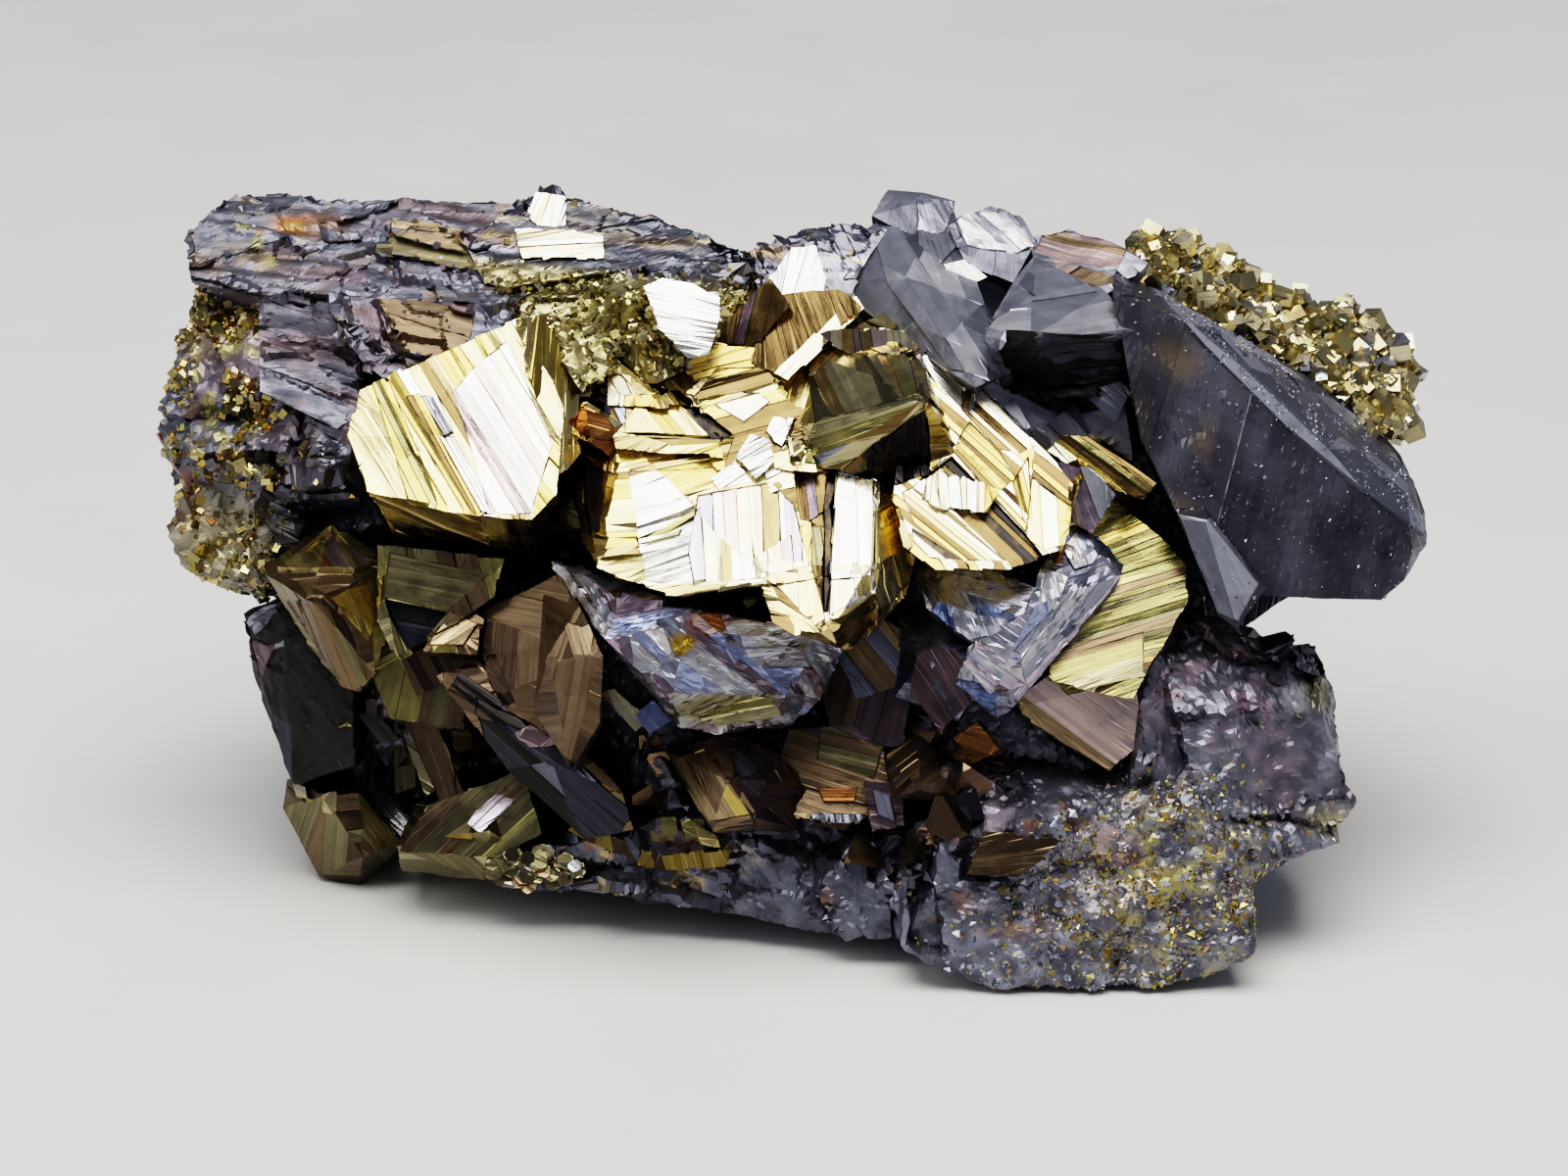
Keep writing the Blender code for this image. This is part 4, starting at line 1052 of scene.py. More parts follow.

# The white tints in these looks are painted highlight, the lamp's glare on the striped faces
STRIPED = [
    patch([(9, 41.9), (11, 42.1), (13.2, 39.3), (12.9, 37.8)],
          look("white*2 white_gold*3 gold", (1, -1), 1, 0.06, 0.05, 0.03, dark=0.2), 0.1),
    patch([(12.9, 39.5), (13.9, 39.5), (13.9, 38.1), (13.2, 37.5), (12.9, 37.9)],
          look("silver umber*3", (0.02, -1), 0.3, 0.15, 0.08), -0.1),
    patch([(13.9, 39.6), (14.4, 39.4), (17.9, 36), (18, 35.1), (17.2, 34.7), (15.6, 35), (13.2, 37.5)],
          look("white*2 white_gold*3 gold*2 umber*3", (1, -0.9), 0.24, 0.1, 0.08, 0.04)),
    patch([(12.1, 35), (12.7, 35.9), (13.2, 37.4), (15.6, 35), (16.9, 33), (15.2, 31.4)],
          look("white_gold*2 gold*4 umber*3", (1, -0.9), 0.22, 0.12, 0.1, 0.05), -0.15),
    patch([(16.6, 32.6), (17.8, 34.6), (18.1, 30), (17.4, 29.6)],
          look("gold*3 umber*2 white_gold", (0.25, -1), 0.25, 0.12, 0.1, 0.05), -0.1),
    patch([(18.1, 35.4), (20.8, 33), (20.7, 30.9), (18, 33)],
          look("white_gold*3 gold*2 umber*3", (1, -0.85), 0.24, 0.12, 0.08, 0.04), 0.05),
    patch([(18, 33), (20.7, 30.9), (20.3, 28), (18.8, 27.6), (17.6, 28.6)],
          look("pale_gold*4 gold*3 white_gold", (0.06, -1), 0.8, 0.05, 0.04, 0.03), 0, (0.04, 0)),
    patch([(12.1, 34.9), (12.6, 35.4), (17.8, 30.2), (17.6, 28.9)],
          look("white_gold*2 gold*3 umber", (1, -1), 0.28, 0.1, 0.06, 0.03), 0.12),
    patch([(9.8, 32.8), (12.2, 34.6), (17.6, 28.9), (19, 27.1), (16.4, 26.6), (12.6, 30.2)],
          look("umber*4 black*2 umber*2", (1, -0.95), 0.7, 0.12, 0.07, 0.04, dull=0.06), -0.35),
    patch([(8.5, 31.8), (9.7, 32.5), (13.3, 29.4), (16.4, 26.8), (13, 26.9), (9.4, 29.6)],
          look("white*2 white_gold*3 pale_gold*2 gold*2 umber*2", (1, -0.8), 0.34, 0.1, 0.07, 0.04)),
    patch([(9.3, 29.3), (13, 26.9), (10.6, 27.1), (9.3, 28.4)],
          look("white_gold honey umber*2 black", (1, -0.8), 0.4, 0.15, 0.08), -0.1),
]

BEVEL = [
    (26, 47.2), (32.5, 44.2), (39.2, 39.2), (43.5, 36.3), (45.6, 32.6), (46.6, 28.6), (42.9, 31.2),
    (36.2, 36.9), (30.5, 42.6),
]

# The white tints in these looks are painted highlight, the lamp's glare on the left crystal
LEFT = [
    patch([(-24.2, 39.6), (-22.5, 41), (-20.3, 43.5), (-16.8, 35.4), (-18.4, 30.3), (-21.4, 30.3)],
          look("white*4 white_gold*2 pink", (0.62, -1), 1, 0.05, 0.06, 0.03, dark=0.25), 0.05),
    patch([(-30, 39.9), (-28.7, 40), (-25.5, 32), (-25.2, 31), (-27.4, 31.4)],
          look("gold*2 olive*2 umber rose", (0.5, -1), 0.45, 0.12, 0.08, 0.04), -0.1, (-0.1, 0)),
    patch([(-27.5, 38.8), (-26.4, 39.1), (-24, 34.8), (-21.4, 30.3), (-22.8, 30.6)],
          look("umber*2 olive umber gold", (0.55, -1), 0.4, 0.14, 0.08, 0.04), -0.12, (-0.1, 0)),
    patch([(-26.4, 38.9), (-25.2, 38.8), (-24, 36.2), (-24.8, 35.8)],
          look("steel*2 silver periwinkle", (0.55, -1), 0.5, 0.06, 0.05), 0.25, (0.1, 0)),
    patch([(-25.2, 36), (-24, 36), (-20.8, 30.3), (-22, 30.3)],
          look("pink*2 lilac white", (0.55, -1), 0.5, 0.1, 0.06), 0.05),
]

# The white tints here, the peak tip's among them, are painted highlight
BRIGHT_FACES = [
    ((-25, 36), look("white_gold*3 white*3 pink*3 pale_gold*2 honey", (0.72, -1), 1, 0.12, 0.1, 0.04)),
    ((-17.6, 39), look("pale_gold*3 gold*2 white*2 umber", (0.62, -1), 0.7, 0.2, 0.12, 0.05)),
    ((-9, 29), look("white_gold*4 pale_gold*2 white*4", (1, 0.35), 2.4, 0.04, 0.05, 0.03, dark=0.2)),
    ((3, 24), look("white_gold*4 pale_gold*2 pink", (0.05, -1), 1, 0.08, 0.05, 0.03)),
    ((14, 33), look("white_gold*2 gold*3 umber*3", (1, -0.92), 0.3, 0.12, 0.1, 0.04)),
    ((14.3, 29.8), look("white_gold*2 gold*3 umber*3", (1, -0.85), 0.3, 0.12, 0.1, 0.04)),
    ((-8.5, 37.5), look("pale_gold*3 white_gold gold*4", (0.5, -1), 1.2, 0.1, 0.05, 0.03)),
    ((-3.5, 41.3), look("pale_gold*3 gold*2 umber*2", (1, 0.26), 0.5, 0.3, 0.1, 0.05)),
    ((1, 44.5), look("umber*5 plum", (0.1, 1), 0.7, 0.1, 0.04, 0.03, 0.04)),
    ((-1.6, 44), look("umber*5 plum", (0.3, 1), 0.7, 0.1, 0.04, 0.03, 0.04)),
    ((3.2, 45), look("umber*3 plum*2 umber", (-0.3, 1), 0.9, 0.1, 0.04, 0.03, 0.04)),
    ((1, 47.8), look("white*3 silver", (0.3, 1), 1.5, 0.1, 0.04, 0.02)),
]

BLUE_FACES = [
    ((15, 24), look("steel*3 periwinkle silver", (1, -0.3), 2, 0.06, 0.05, 0.02, 0.03, 0.3, (0.3, 1.2))),
    ((20, 23.4), look("steel*2 silver*2 periwinkle lilac", (1, 1.1), 0.7, 0.1, 0.07, 0.04)),
]

# The white tints in these looks are painted highlight on the blue crystals
BLUE_PATCHES = [
    patch([(20.2, 27.6), (21.3, 29.1), (23.2, 28), (22.3, 26.6), (21, 26.2)],
          look("periwinkle*3 silver white", (0.2, -1), 0.6, 0.12, 0.1), 0.2),
    patch([(18.8, 26.4), (20.8, 26), (19.9, 24), (18.4, 22.9)],
          look("white silver*3 periwinkle", (0.3, -1), 0.7, 0.12, 0.1), 0.1),
    patch([(19.8, 28.2), (20.5, 28), (20.3, 26.6), (19.6, 26.6)], look("rust*2 rose"), 0.1),
    patch([(13.2, 19.6), (14.2, 21), (17, 20.4), (17.6, 18), (15.2, 17.4)],
          look("rose lilac*2 silver*2 periwinkle", (1, -0.8), 0.6, 0.15, 0.1), 0.1),
]

GOLD_PLATE_FACES = [
    ((24.5, 25), look("olive*5 brass gold*2 bronze khaki*3", (1, 0.33), 0.3, 0.12, 0.05, 0.03, dark=0.7)),
    # The plate's rose tarnish is its own; its paler pink is painted light where the plate lies in shade
    ((22, 15.6), look("pink*4 lilac*2 tan", (1, -0.75), 0.8, 0.06, 0.05, 0.02, 0.04)),
]

GOLD_PLATE_PATCHES = [
    patch([(18.6, 19.4), (26.2, 21.8), (26.2, 18.6), (20.6, 17.2)],
          look("olive*3 brass bronze", (1, 0.3), 0.8, 0.06, 0.04, 0.02, 0.02, 0.3)),
]

CHARCOAL_PATCHES = [
    patch(BEVEL, look("slate*2 steel*2", (1, -0.93), 1.2, 0.08, 0.05, 0.03, 0.06, 0.3, (0.5, 1.5)), 0.12),
    patch([(29, 30.2), (31, 30), (34.6, 25.4), (33.1, 22.6), (31.4, 23.4)],
          look("steel*2 slate", (0.5, -1), 3, 0.04, 0.02, 0.01, 0.05, 0.1, (0.6, 1.6), 0.5), 0.1),
]

SLATE_FACES = [
    ((12, 47), look("silver steel*4", (-0.4, 1), 3, 0.04, 0.03, 0.01, 0.04, 0.2, (0.5, 1.8))),
    ((8, 44), look("steel*4 slate", (0.6, -1), 3, 0.04, 0.03, 0.01, 0.04, 0.2, (0.5, 1.8))),
    ((20, 45), look("silver steel*3", (1, 0.1), 3, 0.04, 0.03, 0.01, 0.04, 0.2, (0.5, 1.8))),
    # Painted shade: the wedge's underside faces down and is painted near black
    ((21, 41), look("charcoal*2 black*2", (1, 0.1), 2, 0.05, 0.03, 0.02, 0.06)),
]

SLATE_PATCHES = [
    # Painted shade: the near-black underside of the overhanging wedge
    patch([(15.7, 42.7), (16.2, 43.3), (25.3, 43.5), (25.6, 41.5), (24, 38.2), (20.5, 37.4), (16.6, 39.4)],
          look("black*4 charcoal*2", (1, 0.1), 0.9, 0.2, 0.12, 0.08, 0.14, 0.3, rough=2.5)),
    patch([(14.6, 43.8), (17.8, 45.9), (22, 47), (25.6, 44), (25.3, 43.5), (16.2, 43.3)],
          look("silver*2 steel*3", (1, 0.15), 3, 0.04, 0.03, 0.01, 0.04, 0.2, (0.5, 1.8)), 0.1, (0, 0.05)),
    patch([(6.3, 51.3), (8.4, 51), (14.9, 41.2), (14.8, 40), (12, 41), (7.6, 47)],
          look("silver*2 steel*3", (0.62, -1), 2, 0.05, 0.04, 0.02, 0.04, 0.3, (0.4, 1.4)), 0.1, (0.04, 0)),
    patch([(9.6, 53), (12.2, 53), (13, 50), (11.4, 48.4), (9.8, 49.6)],
          look("steel*3 silver", (0.4, -1), 0.8, 0.1, 0.08, 0.05, 0.03), 0.1),
    patch([(18.2, 49.4), (19.2, 51.2), (22, 50.8), (25, 49.2), (24.4, 48), (21, 48.6)],
          look("rose*3 tan bronze", (1, -0.3), 0.5, 0.06, 0.06, 0.04, 0.08, 0.3, rough=1.6)),
    patch([(19.4, 49.2), (21, 48.6), (24.4, 48), (24, 46.9), (22.4, 46.6), (19.8, 48.2)],
          look("rose*2 bronze*2", (1, 0.6), 0.8, 0.06, 0.06, 0.04, 0.08, 0.3, rough=1.6)),
    # Painted highlight: the white in this bright striated face
    patch([(12.6, 51.4), (14, 52.3), (16.8, 52.2), (18.2, 49.8), (17, 49.2), (13.4, 49.6)],
          look("silver*2 steel*2 white", (1, -0.9), 0.5, 0.2, 0.14, 0.1, 0.02, 0.6, rough=2.5)),
]

RAINBOW_PATCHES = [
    patch([(-6.9, 23.2), (-5, 23.2), (-4.3, 22), (-5.6, 21.5), (-6.9, 22.3)], look("rust*3 pink"), 0.15),
    patch([(-4.7, 21.7), (-3.4, 21.6), (-2.9, 20.2), (-3.8, 19.5), (-4.4, 20.6)],
          look("periwinkle*3 silver blue", (1, -0.5), 0.5, 0.2), 0.1),
    # Painted highlight: the white in this silver patch
    patch([(-11.3, 21.5), (-8.6, 22.2), (-8, 20.3), (-9.4, 18.7), (-10.8, 19.2)],
          look("silver*3 white periwinkle", (1, -1), 0.6, 0.2, 0.1), 0.15, (0, 0.15)),
    patch([(-8.1, 20.4), (-7, 21.4), (-6.8, 20.7), (-7.8, 19.9)], look("deep_gold*2 gold"), 0.4),
]

BRONZE_PLATE_PATCHES = [
    patch([(-22.4, 17), (-18.6, 15.2), (-11, 8.6), (-12.6, 6.2), (-16.8, 8), (-21.6, 13.6)],
          look("black*3 charcoal*3 slate", (1, -0.9), 1.2, 0.1, 0.06, 0.04, 0.03)),
    patch([(-24.6, 17), (-23.6, 18.8), (-18.2, 15.2), (-18.9, 14.4)],
          look("black*2 dark_bronze*2 umber", (1, -0.7), 0.5, 0.15, 0.1), 0.15),
    patch([(-16, 22.6), (-14, 22), (-13.8, 20), (-15.2, 19.8)], look("tan*2 bronze", (0.3, -1)), 0.1),
    patch([(-18.4, 26.6), (-15.2, 29), (-14.4, 27), (-15.4, 24.6)],
          look("tan rose bronze", (0.3, -1), 1, 0.1, 0.06), 0.1),
    patch([(-22.6, 20), (-20.8, 20.2), (-19.4, 16.6), (-20.4, 16.2)],
          look("dark_bronze*2 plum", (0.6, -1), 0.8, 0.1), -0.4),
]

FIN_PATCHES = [
    # The fin's top face has tan, orange and pink of its own; its paleness is painted light on a face in
    # shade
    patch([(-36.9, 26), (-33, 29.4), (-30, 26.4), (-31.4, 25.8)],
          look("pale_gold*2 tan*2 orange pink*2", (0.5, -1), 0.6, 0.1, 0.08, 0.04), 0.1, (0, -0.3)),
    patch([(-36.9, 25.9), (-31.4, 25.8), (-30.9, 25.3), (-33.4, 24.4)],
          look("bronze*2 tan", (1, 0.05), 0.6, 0.1, 0.06), 0),
    patch([(-33.3, 24.3), (-29, 26), (-29.2, 24), (-30.4, 21.2)],
          look("deep_gold*2 olive*2 gold", (0.5, -1), 0.7, 0.08, 0.06), 0.15),
    patch([(-36, 24.2), (-33.7, 24.3), (-31.8, 22.5), (-30.3, 18.1), (-31.6, 17.5)],
          look("bronze*3 khaki dark_bronze", (0.45, -1), 0.45, 0.14, 0.08, 0.05), 0),
    patch([(-30.1, 22.4), (-28.7, 23), (-27.9, 20), (-30, 18.8)],
          look("olive*2 brass*2", (1, 0.6), 0.8, 0.06, 0.05), 0.15),
    # Painted shade: a black sunk hollow among the fins
    patch([(-29.3, 24.2), (-24.4, 23.2), (-26.3, 21), (-27.8, 20.2), (-28.6, 22.8)],
          look("black*2 charcoal", (1, -0.2)), -0.6),
    patch([(-28.7, 27.6), (-21.4, 26), (-24.4, 23.3), (-29.2, 24.3)],
          look("khaki*3 bronze", (1, -0.2), 1.6, 0.05, 0.04, 0.02, 0.05)),
    patch([(-26.2, 20.7), (-24.2, 23.3), (-22.2, 22.3), (-23.3, 20.7)],
          look("orange tan*3 pink bronze", (1, 0.6), 0.4, 0.1, 0.1), 0.2),
]

LOWER_BLOCK_PATCHES = [
    # Painted highlight: the white of this pink strip
    patch([(-19.3, 11), (-18.5, 10.3), (-22, 7.3), (-22.7, 7.7)],
          look("white*2 pink*2 lilac", (1, 0.95), 0.3, 0.1, 0.08), 0.25),
    # Painted highlight: a yellow glint on the lower block
    patch([(-25.6, 6.6), (-24, 7.5), (-22.4, 7.6), (-22.6, 6.9)], look("gold*2 white_gold", (1, 0.3)), 0.2),
]

# Painted highlight: small yellow glints on the foot crystal
FOOT_PATCHES = [
    patch([(-35.4, 10.6), (-34.4, 10.4), (-34.2, 9.4), (-35.2, 9.6)], look("gold white_gold"), 0.2),
    patch([(-33.6, 10), (-32.6, 10.2), (-32.6, 8.6), (-33.4, 8.8)], look("gold brass"), 0.2),
]

LEFT_DARK_PATCHES = [
    patch([(-39, 22.6), (-37.8, 23.6), (-36.4, 24), (-36.8, 23.2), (-38.4, 21.6)],
          look("steel*2 slate", (1, 0.5), 0.5, 0.12, 0.1), 0.15),
    patch([(-37, 21), (-36.3, 21.2), (-36.2, 20.8), (-36.9, 20.6)], look("silver*2 steel"), 0.2),
    patch([(-38.6, 21.4), (-36.8, 20.8), (-37.8, 18.4)], look("plum*2 slate", (0.6, -1)), 0.1),
    patch([(-32.4, 15), (-31.7, 15.3), (-31.6, 15), (-32.2, 14.8)], look("pale_gold"), 0.3),
]

LOWER_PATCHES = [
    patch([(-8.1, 12.4), (-5.6, 13.2), (-2.3, 8.6), (-5.3, 8.1)],
          look("tan*3 bronze gold", (0.62, -1), 0.8, 0.06, 0.05)),
    patch([(-5.3, 8.1), (-2.3, 8.6), (-2.1, 7.8), (-5, 7.3)], look("bronze*2 tan", (1, 0.1), 0.4, 0.1)),
    patch([(-4.2, 13.2), (-0.6, 12.2), (-1.9, 9.6), (-2.8, 9.7)],
          look("mauve steel plum", (1, -0.9), 0.9, 0.08, 0.05)),
    patch([(2.7, 15.2), (7.2, 13.2), (6.6, 11), (2.4, 12.4)],
          look("khaki*3 bronze", (1, -0.25), 0.7, 0.1, 0.05)),
    patch([(7.6, 12.4), (9.5, 13.9), (12.2, 11.6), (12.2, 9.8), (8.5, 9.8)],
          look("tan*3 bronze rose", (1, 0.75), 0.5, 0.08, 0.06), 0.1),
    patch([(2.4, 10.4), (5.4, 10.4), (5.2, 9.3), (2.9, 9.3)], look("rust*2 bronze", (1, 0)), 0.1),
    patch([(6.4, 10.4), (7.8, 9.9), (8.3, 7.8), (6.8, 8.4)],
          look("steel periwinkle silver", (0.3, -1)), 0.2),
    patch([(2, 8.6), (6, 8.6), (5.6, 6.4), (2.4, 6.4)],
          look("steel*2 slate silver", (0.25, -1), 0.35, 0.15, 0.12, 0.08)),
]

CREST_PATCHES = [
    # Painted highlight: the white blaze of glare on the crest
    patch([(-9.8, 46.9), (-8.8, 47.3), (-5.6, 46.8), (-4.2, 45.3), (-4.7, 42.8), (-5.6, 44), (-8, 45.2)],
          look("white*3", (1, -0.3), 3, 0.05, 0.04, 0.02, 0, 0.2, (0.6, 2), 0.2), 0.35),
]

SLAB_PATCHES = [
    patch([(-28.5, 51.6), (-24, 50.8), (-21.8, 47.6), (-24.5, 47.9), (-29.2, 49)],
          look("bronze*2 khaki*2 tan", (1, -0.3), 2, 0.1, 0.03, 0.02, 0.08, 0.3, (0.5, 1.5), 0.25), 0.5),
    patch([(-32.4, 46.2), (-29.8, 46), (-27.6, 42), (-23, 41.6), (-23.2, 40.4), (-27, 40.6), (-31.8, 44)],
          look("bronze*3 plum*2 rust", (1, -0.3), 2, 0.1, 0.03, 0.02, 0.08, 0.3, (0.5, 1.5), 0.3), 0.3),
    # Painted shadow: black sunk strips along the lower edge of the raised plate
    patch([(-36.4, 46.4), (-32.6, 45.5), (-32.3, 44.8), (-36, 45.7)], look("black"), -1.6),
    patch([(-32.4, 44.9), (-32, 43.9), (-29.4, 41.5), (-28.6, 41.9)], look("black"), -1.6),
    patch([(-29.4, 41.8), (-29.4, 41.2), (-26.8, 40.1), (-26.2, 40.5), (-28.4, 41.7)], look("black"), -1.6),
]

CRYSTALS = {
    "bright_crystals": {
        "own": look("pale_gold*3 gold*2 honey umber", tilt=0.08),
        "faces": BRIGHT_FACES, "patches": LEFT + CENTRAL + TOP_STEPS + STRIPED,
    },
    "blue_crystals": {
        "own": look("steel*3 blue slate", (1, -0.6), 1.5, 0.1, 0.06, 0.03, 0.05),
        "edge": 0.85 * MM, "rise": rainbow_rise, "faces": BLUE_FACES, "patches": BLUE_PATCHES,
    },
    "gold_plate": {
        "own": look("olive*2 gold khaki*2", tilt=0.05),
        "faces": GOLD_PLATE_FACES, "patches": GOLD_PLATE_PATCHES,
    },
    "charcoal_crystal": {
        "own": look("charcoal*4", (1, -0.8), 4, 0.05, 0.02, 0.01, 0.02, 0.1, (0.6, 1.6)),
        "edge": 0.75 * MM, "rise": charcoal_rise, "stain": charcoal_stain_and_shade, "patches": CHARCOAL_PATCHES,
    },
    "slate_crystals": {
        "own": look("slate*2 steel*3", (1, -0.4), 3, 0.05, 0.03, 0.015, 0.05, 0.2, (0.5, 1.8)),
        "edge": 1.0 * MM, "rise": slate_rise, "stain": slate_stain, "faces": SLATE_FACES,
        "patches": SLATE_PATCHES,
    },
    "rainbow_crystal": {
        "own": look("silver*2 steel*2 lilac periwinkle mauve", band=0.9, tilt=0.08, relief=0.25, dull=0.03),
        "edge": 0.8 * MM, "rise": rainbow_rise, "stain": rainbow_stain, "patches": RAINBOW_PATCHES,
    },
    "bronze_plate": {
        "own": look("bronze*4 dark_bronze", (0.3, -1), 1.8, 0.08, 0.03, 0.03, 0.07),
        "patches": BRONZE_PLATE_PATCHES,
    },
    "fin_crystals": {"own": look("bronze*3 khaki*2 olive", tilt=0.06), "patches": FIN_PATCHES},
    "lower_block": {
        "own": look("khaki*3 olive*2 brass", (0.42, -1), 0.8, 0.1, 0.05, 0.03),
        "patches": LOWER_BLOCK_PATCHES,
    },
    "foot_crystal": {
        "own": look("bronze*3 khaki*2 dark_bronze", (0.1, -1), 1, 0.1, 0.04, 0.03, 0.06),
        "patches": FOOT_PATCHES,
    },
    "left_dark_crystal": {
        "own": look("black*5 charcoal", (0.2, -1), 3, 0.08, 0.03, 0.02, 0.14, 0.2, (0.5, 1.8)),
        "rise": rainbow_rise, "edge": 0.6 * MM, "patches": LEFT_DARK_PATCHES,
    },
    "lower_crystals": {
        "own": look("bronze*3 plum*2 dark_bronze*2", tilt=0.06, dull=0.05),
        "patches": LOWER_PATCHES,
    },
    "crest": {
        "own": look("olive*2 brass*2 khaki", (1, -0.25), 1.5, 0.3, 0.08, 0.04, 0.08, 0.3, (0.4, 1.2)),
        "edge": 0.5 * MM, "rise": crest_rise, "stain": crest_stain,
        "breaks": [(4, 21, 0.8), (1.8, 23, 0.3)], "patches": CREST_PATCHES,
    },
    "tarnished_slab": {
        "own": look("plum*3 slate*2 bronze mauve", (1, -0.2), 1.5, 0.5, 0.08, 0.04, 0.05, 0.4, (0.4, 1.2)),
        "edge": 0.52 * MM, "rise": slab_rise, "stain": slab_stain, "breaks": [(4, 31, 0.6)],
        "patches": SLAB_PATCHES,
    },
    "pyrite_crust": {"own": look("brass*3 pale_gold*2 olive", band=0.8, tilt=0.08)},
    "back_crystals": {
        "own": look("bronze*3 tan*2 khaki", (1, -0.5), 2.2, tilt=0.06, dull=0.05),
        "edge": 5 * MM,
    },
    "back_wedges": {"own": look("slate*2 steel*2", (1, -0.5), 2.4, tilt=0.04, dull=0.08), "edge": 5 * MM},
}


# Small crystals, by the slot whose material they take

# The white tints on these chips are painted highlight, the lamp's glare
BRASS_CHIPS = [
    chip([(10, 32.3), (11.4, 33.3), (15.1, 31.9), (14.7, 30.8), (11.2, 31.2)],
         look("white*3 white_gold*2 gold", (0.12, -1), 0.4, 0.25, 0.25, 0.1), 0.5, (0, -0.4)),
    chip([(19.5, 35), (20.5, 35.8), (21.9, 35.8), (26.7, 32.5), (26, 31.8), (22.1, 33.5)],
         look("white_gold*2 gold*3 olive umber*2", (1, -0.7), 0.26, 0.12, 0.12, 0.05), 0.9, (0, -0.25)),
    # Painted highlight: the crest's white blaze, on a chip that faces up
    chip([(-9.9, 46.8), (-9, 47.2), (-6, 46.6), (-4.9, 46), (-5, 44.3), (-5.7, 42.2), (-6.9, 42),
          (-8.9, 44.5)],
         look("white*3", (1, -0.3), 3, 0.05, 0.05, 0.02, 0, 0.2), 1, (0, -0.35)),
    chip([(-18.4, 52.5), (-17.9, 53.6), (-16.3, 53.3), (-16.2, 51.7), (-17.5, 51.3)],
         look("white*2 white_gold*2", (0.3, 1), 0.5, 0.12, 0.1), 0.9, (0, -0.3)),
    chip([(-19.3, 50.9), (-13.5, 50.6), (-13.4, 49.3), (-18.7, 49.3)],
         look("white*2 white_gold*2 gold", (1, 0.04), 0.4, 0.2, 0.1), 0.7, (0, -0.6)),
    chip([(-3.3, 34.6), (-2.4, 36.1), (-1.3, 35.8), (-0.9, 34.2), (-2, 33.2)],
         look("white*3", (1, 0.6), 1, 0.06), 0.5, (0.1, -0.3)),
    chip([(-5, 33), (-3.6, 34), (-2.6, 32.8), (-3.8, 31.6)],
         look("white*2 pink", (1, 0.6), 1, 0.06), 0.4, (-0.1, -0.3)),
    chip([(-1.2, 33.9), (0.5, 34), (0.6, 32.5), (-0.9, 32.1)],
         look("white*2 white_gold", (1, 0.6), 1, 0.06), 0.4, (0.1, -0.4)),
    chip([(-13.9, 39), (-13.2, 39.2), (-11.8, 36.7), (-12.4, 36.4)], look("white*2 lilac", (0.5, -1)), 0.3),
    chip([(-2.9, 24.3), (-1.6, 24), (-0.5, 22.9), (-1.2, 22.5), (-2.2, 23.3)],
         look("gold*2 olive", (1, -1), 0.4), 0.4),
    chip([(17.5, 26.1), (18.8, 27), (19.1, 26.1), (18, 25.6)], look("gold white_gold", (1, 0.3)), 0.4),
    chip([(-16.6, 31.4), (-15.6, 31.8), (-15, 29.6), (-15.8, 29.4)], look("gold olive", (1, -1)), 0.3),
    chip([(9.4, 42), (9.9, 42.4), (8.4, 43.6), (3, 43.4), (5, 42.4)],
         look("rose pink white_gold*2 honey", (0.2, -1), 0.4, 0.2, 0.12), 0.4),
    chip([(-0.2, 40.9), (0.4, 40.5), (5.4, 45.4), (5.1, 45.9)],
         look("white_gold pink", (1, 1)), 0.4, (0, -0.5)),
]

BLUE_CHIPS = [
    # Painted highlight: the white of this silver strip
    chip([(-31.8, 11.6), (-31.1, 12), (-27.1, 7.6), (-27.8, 7)],
         look("silver*3 white periwinkle", (1, -1), 0.4, 0.15, 0.1), 1.4, (0, -0.5)),
    chip([(-27.8, 9.4), (-26.7, 9), (-27.2, 7), (-28.2, 7.2)],
         look("silver*2 steel", (0.4, -1)), 1.4, (0, -0.5)),
    chip([(-30.7, 15.6), (-29.9, 15.9), (-28.3, 14), (-29, 13.6)], look("silver*2", (1, -1)), 1, (0, -0.3)),
    chip([(-10.5, 15.7), (-9.5, 16.5), (-8.6, 15.4), (-9.7, 14.8)],
         look("periwinkle*2 silver", (1, -1)), 0.8),
    chip([(20, 33.9), (22.1, 33.5), (23.8, 31.7), (22.4, 29.4), (21.4, 29.9), (20.9, 31.2)],
         look("mauve*2 steel silver", (0.4, -1), 0.6, 0.12, 0.1), 0.7, (0.2, 0)),
    chip([(22, 6.2), (24.6, 5.2), (25.4, 6.8), (23.6, 7.4)], look("rose*2 tan", (1, -0.3)), 0.5, (0, 0.2)),
    chip([(11, 17.8), (12.4, 19.6), (13.8, 18), (12.6, 16.2)], look("slate*2 plum", (0.5, -1)), 0.6),
]

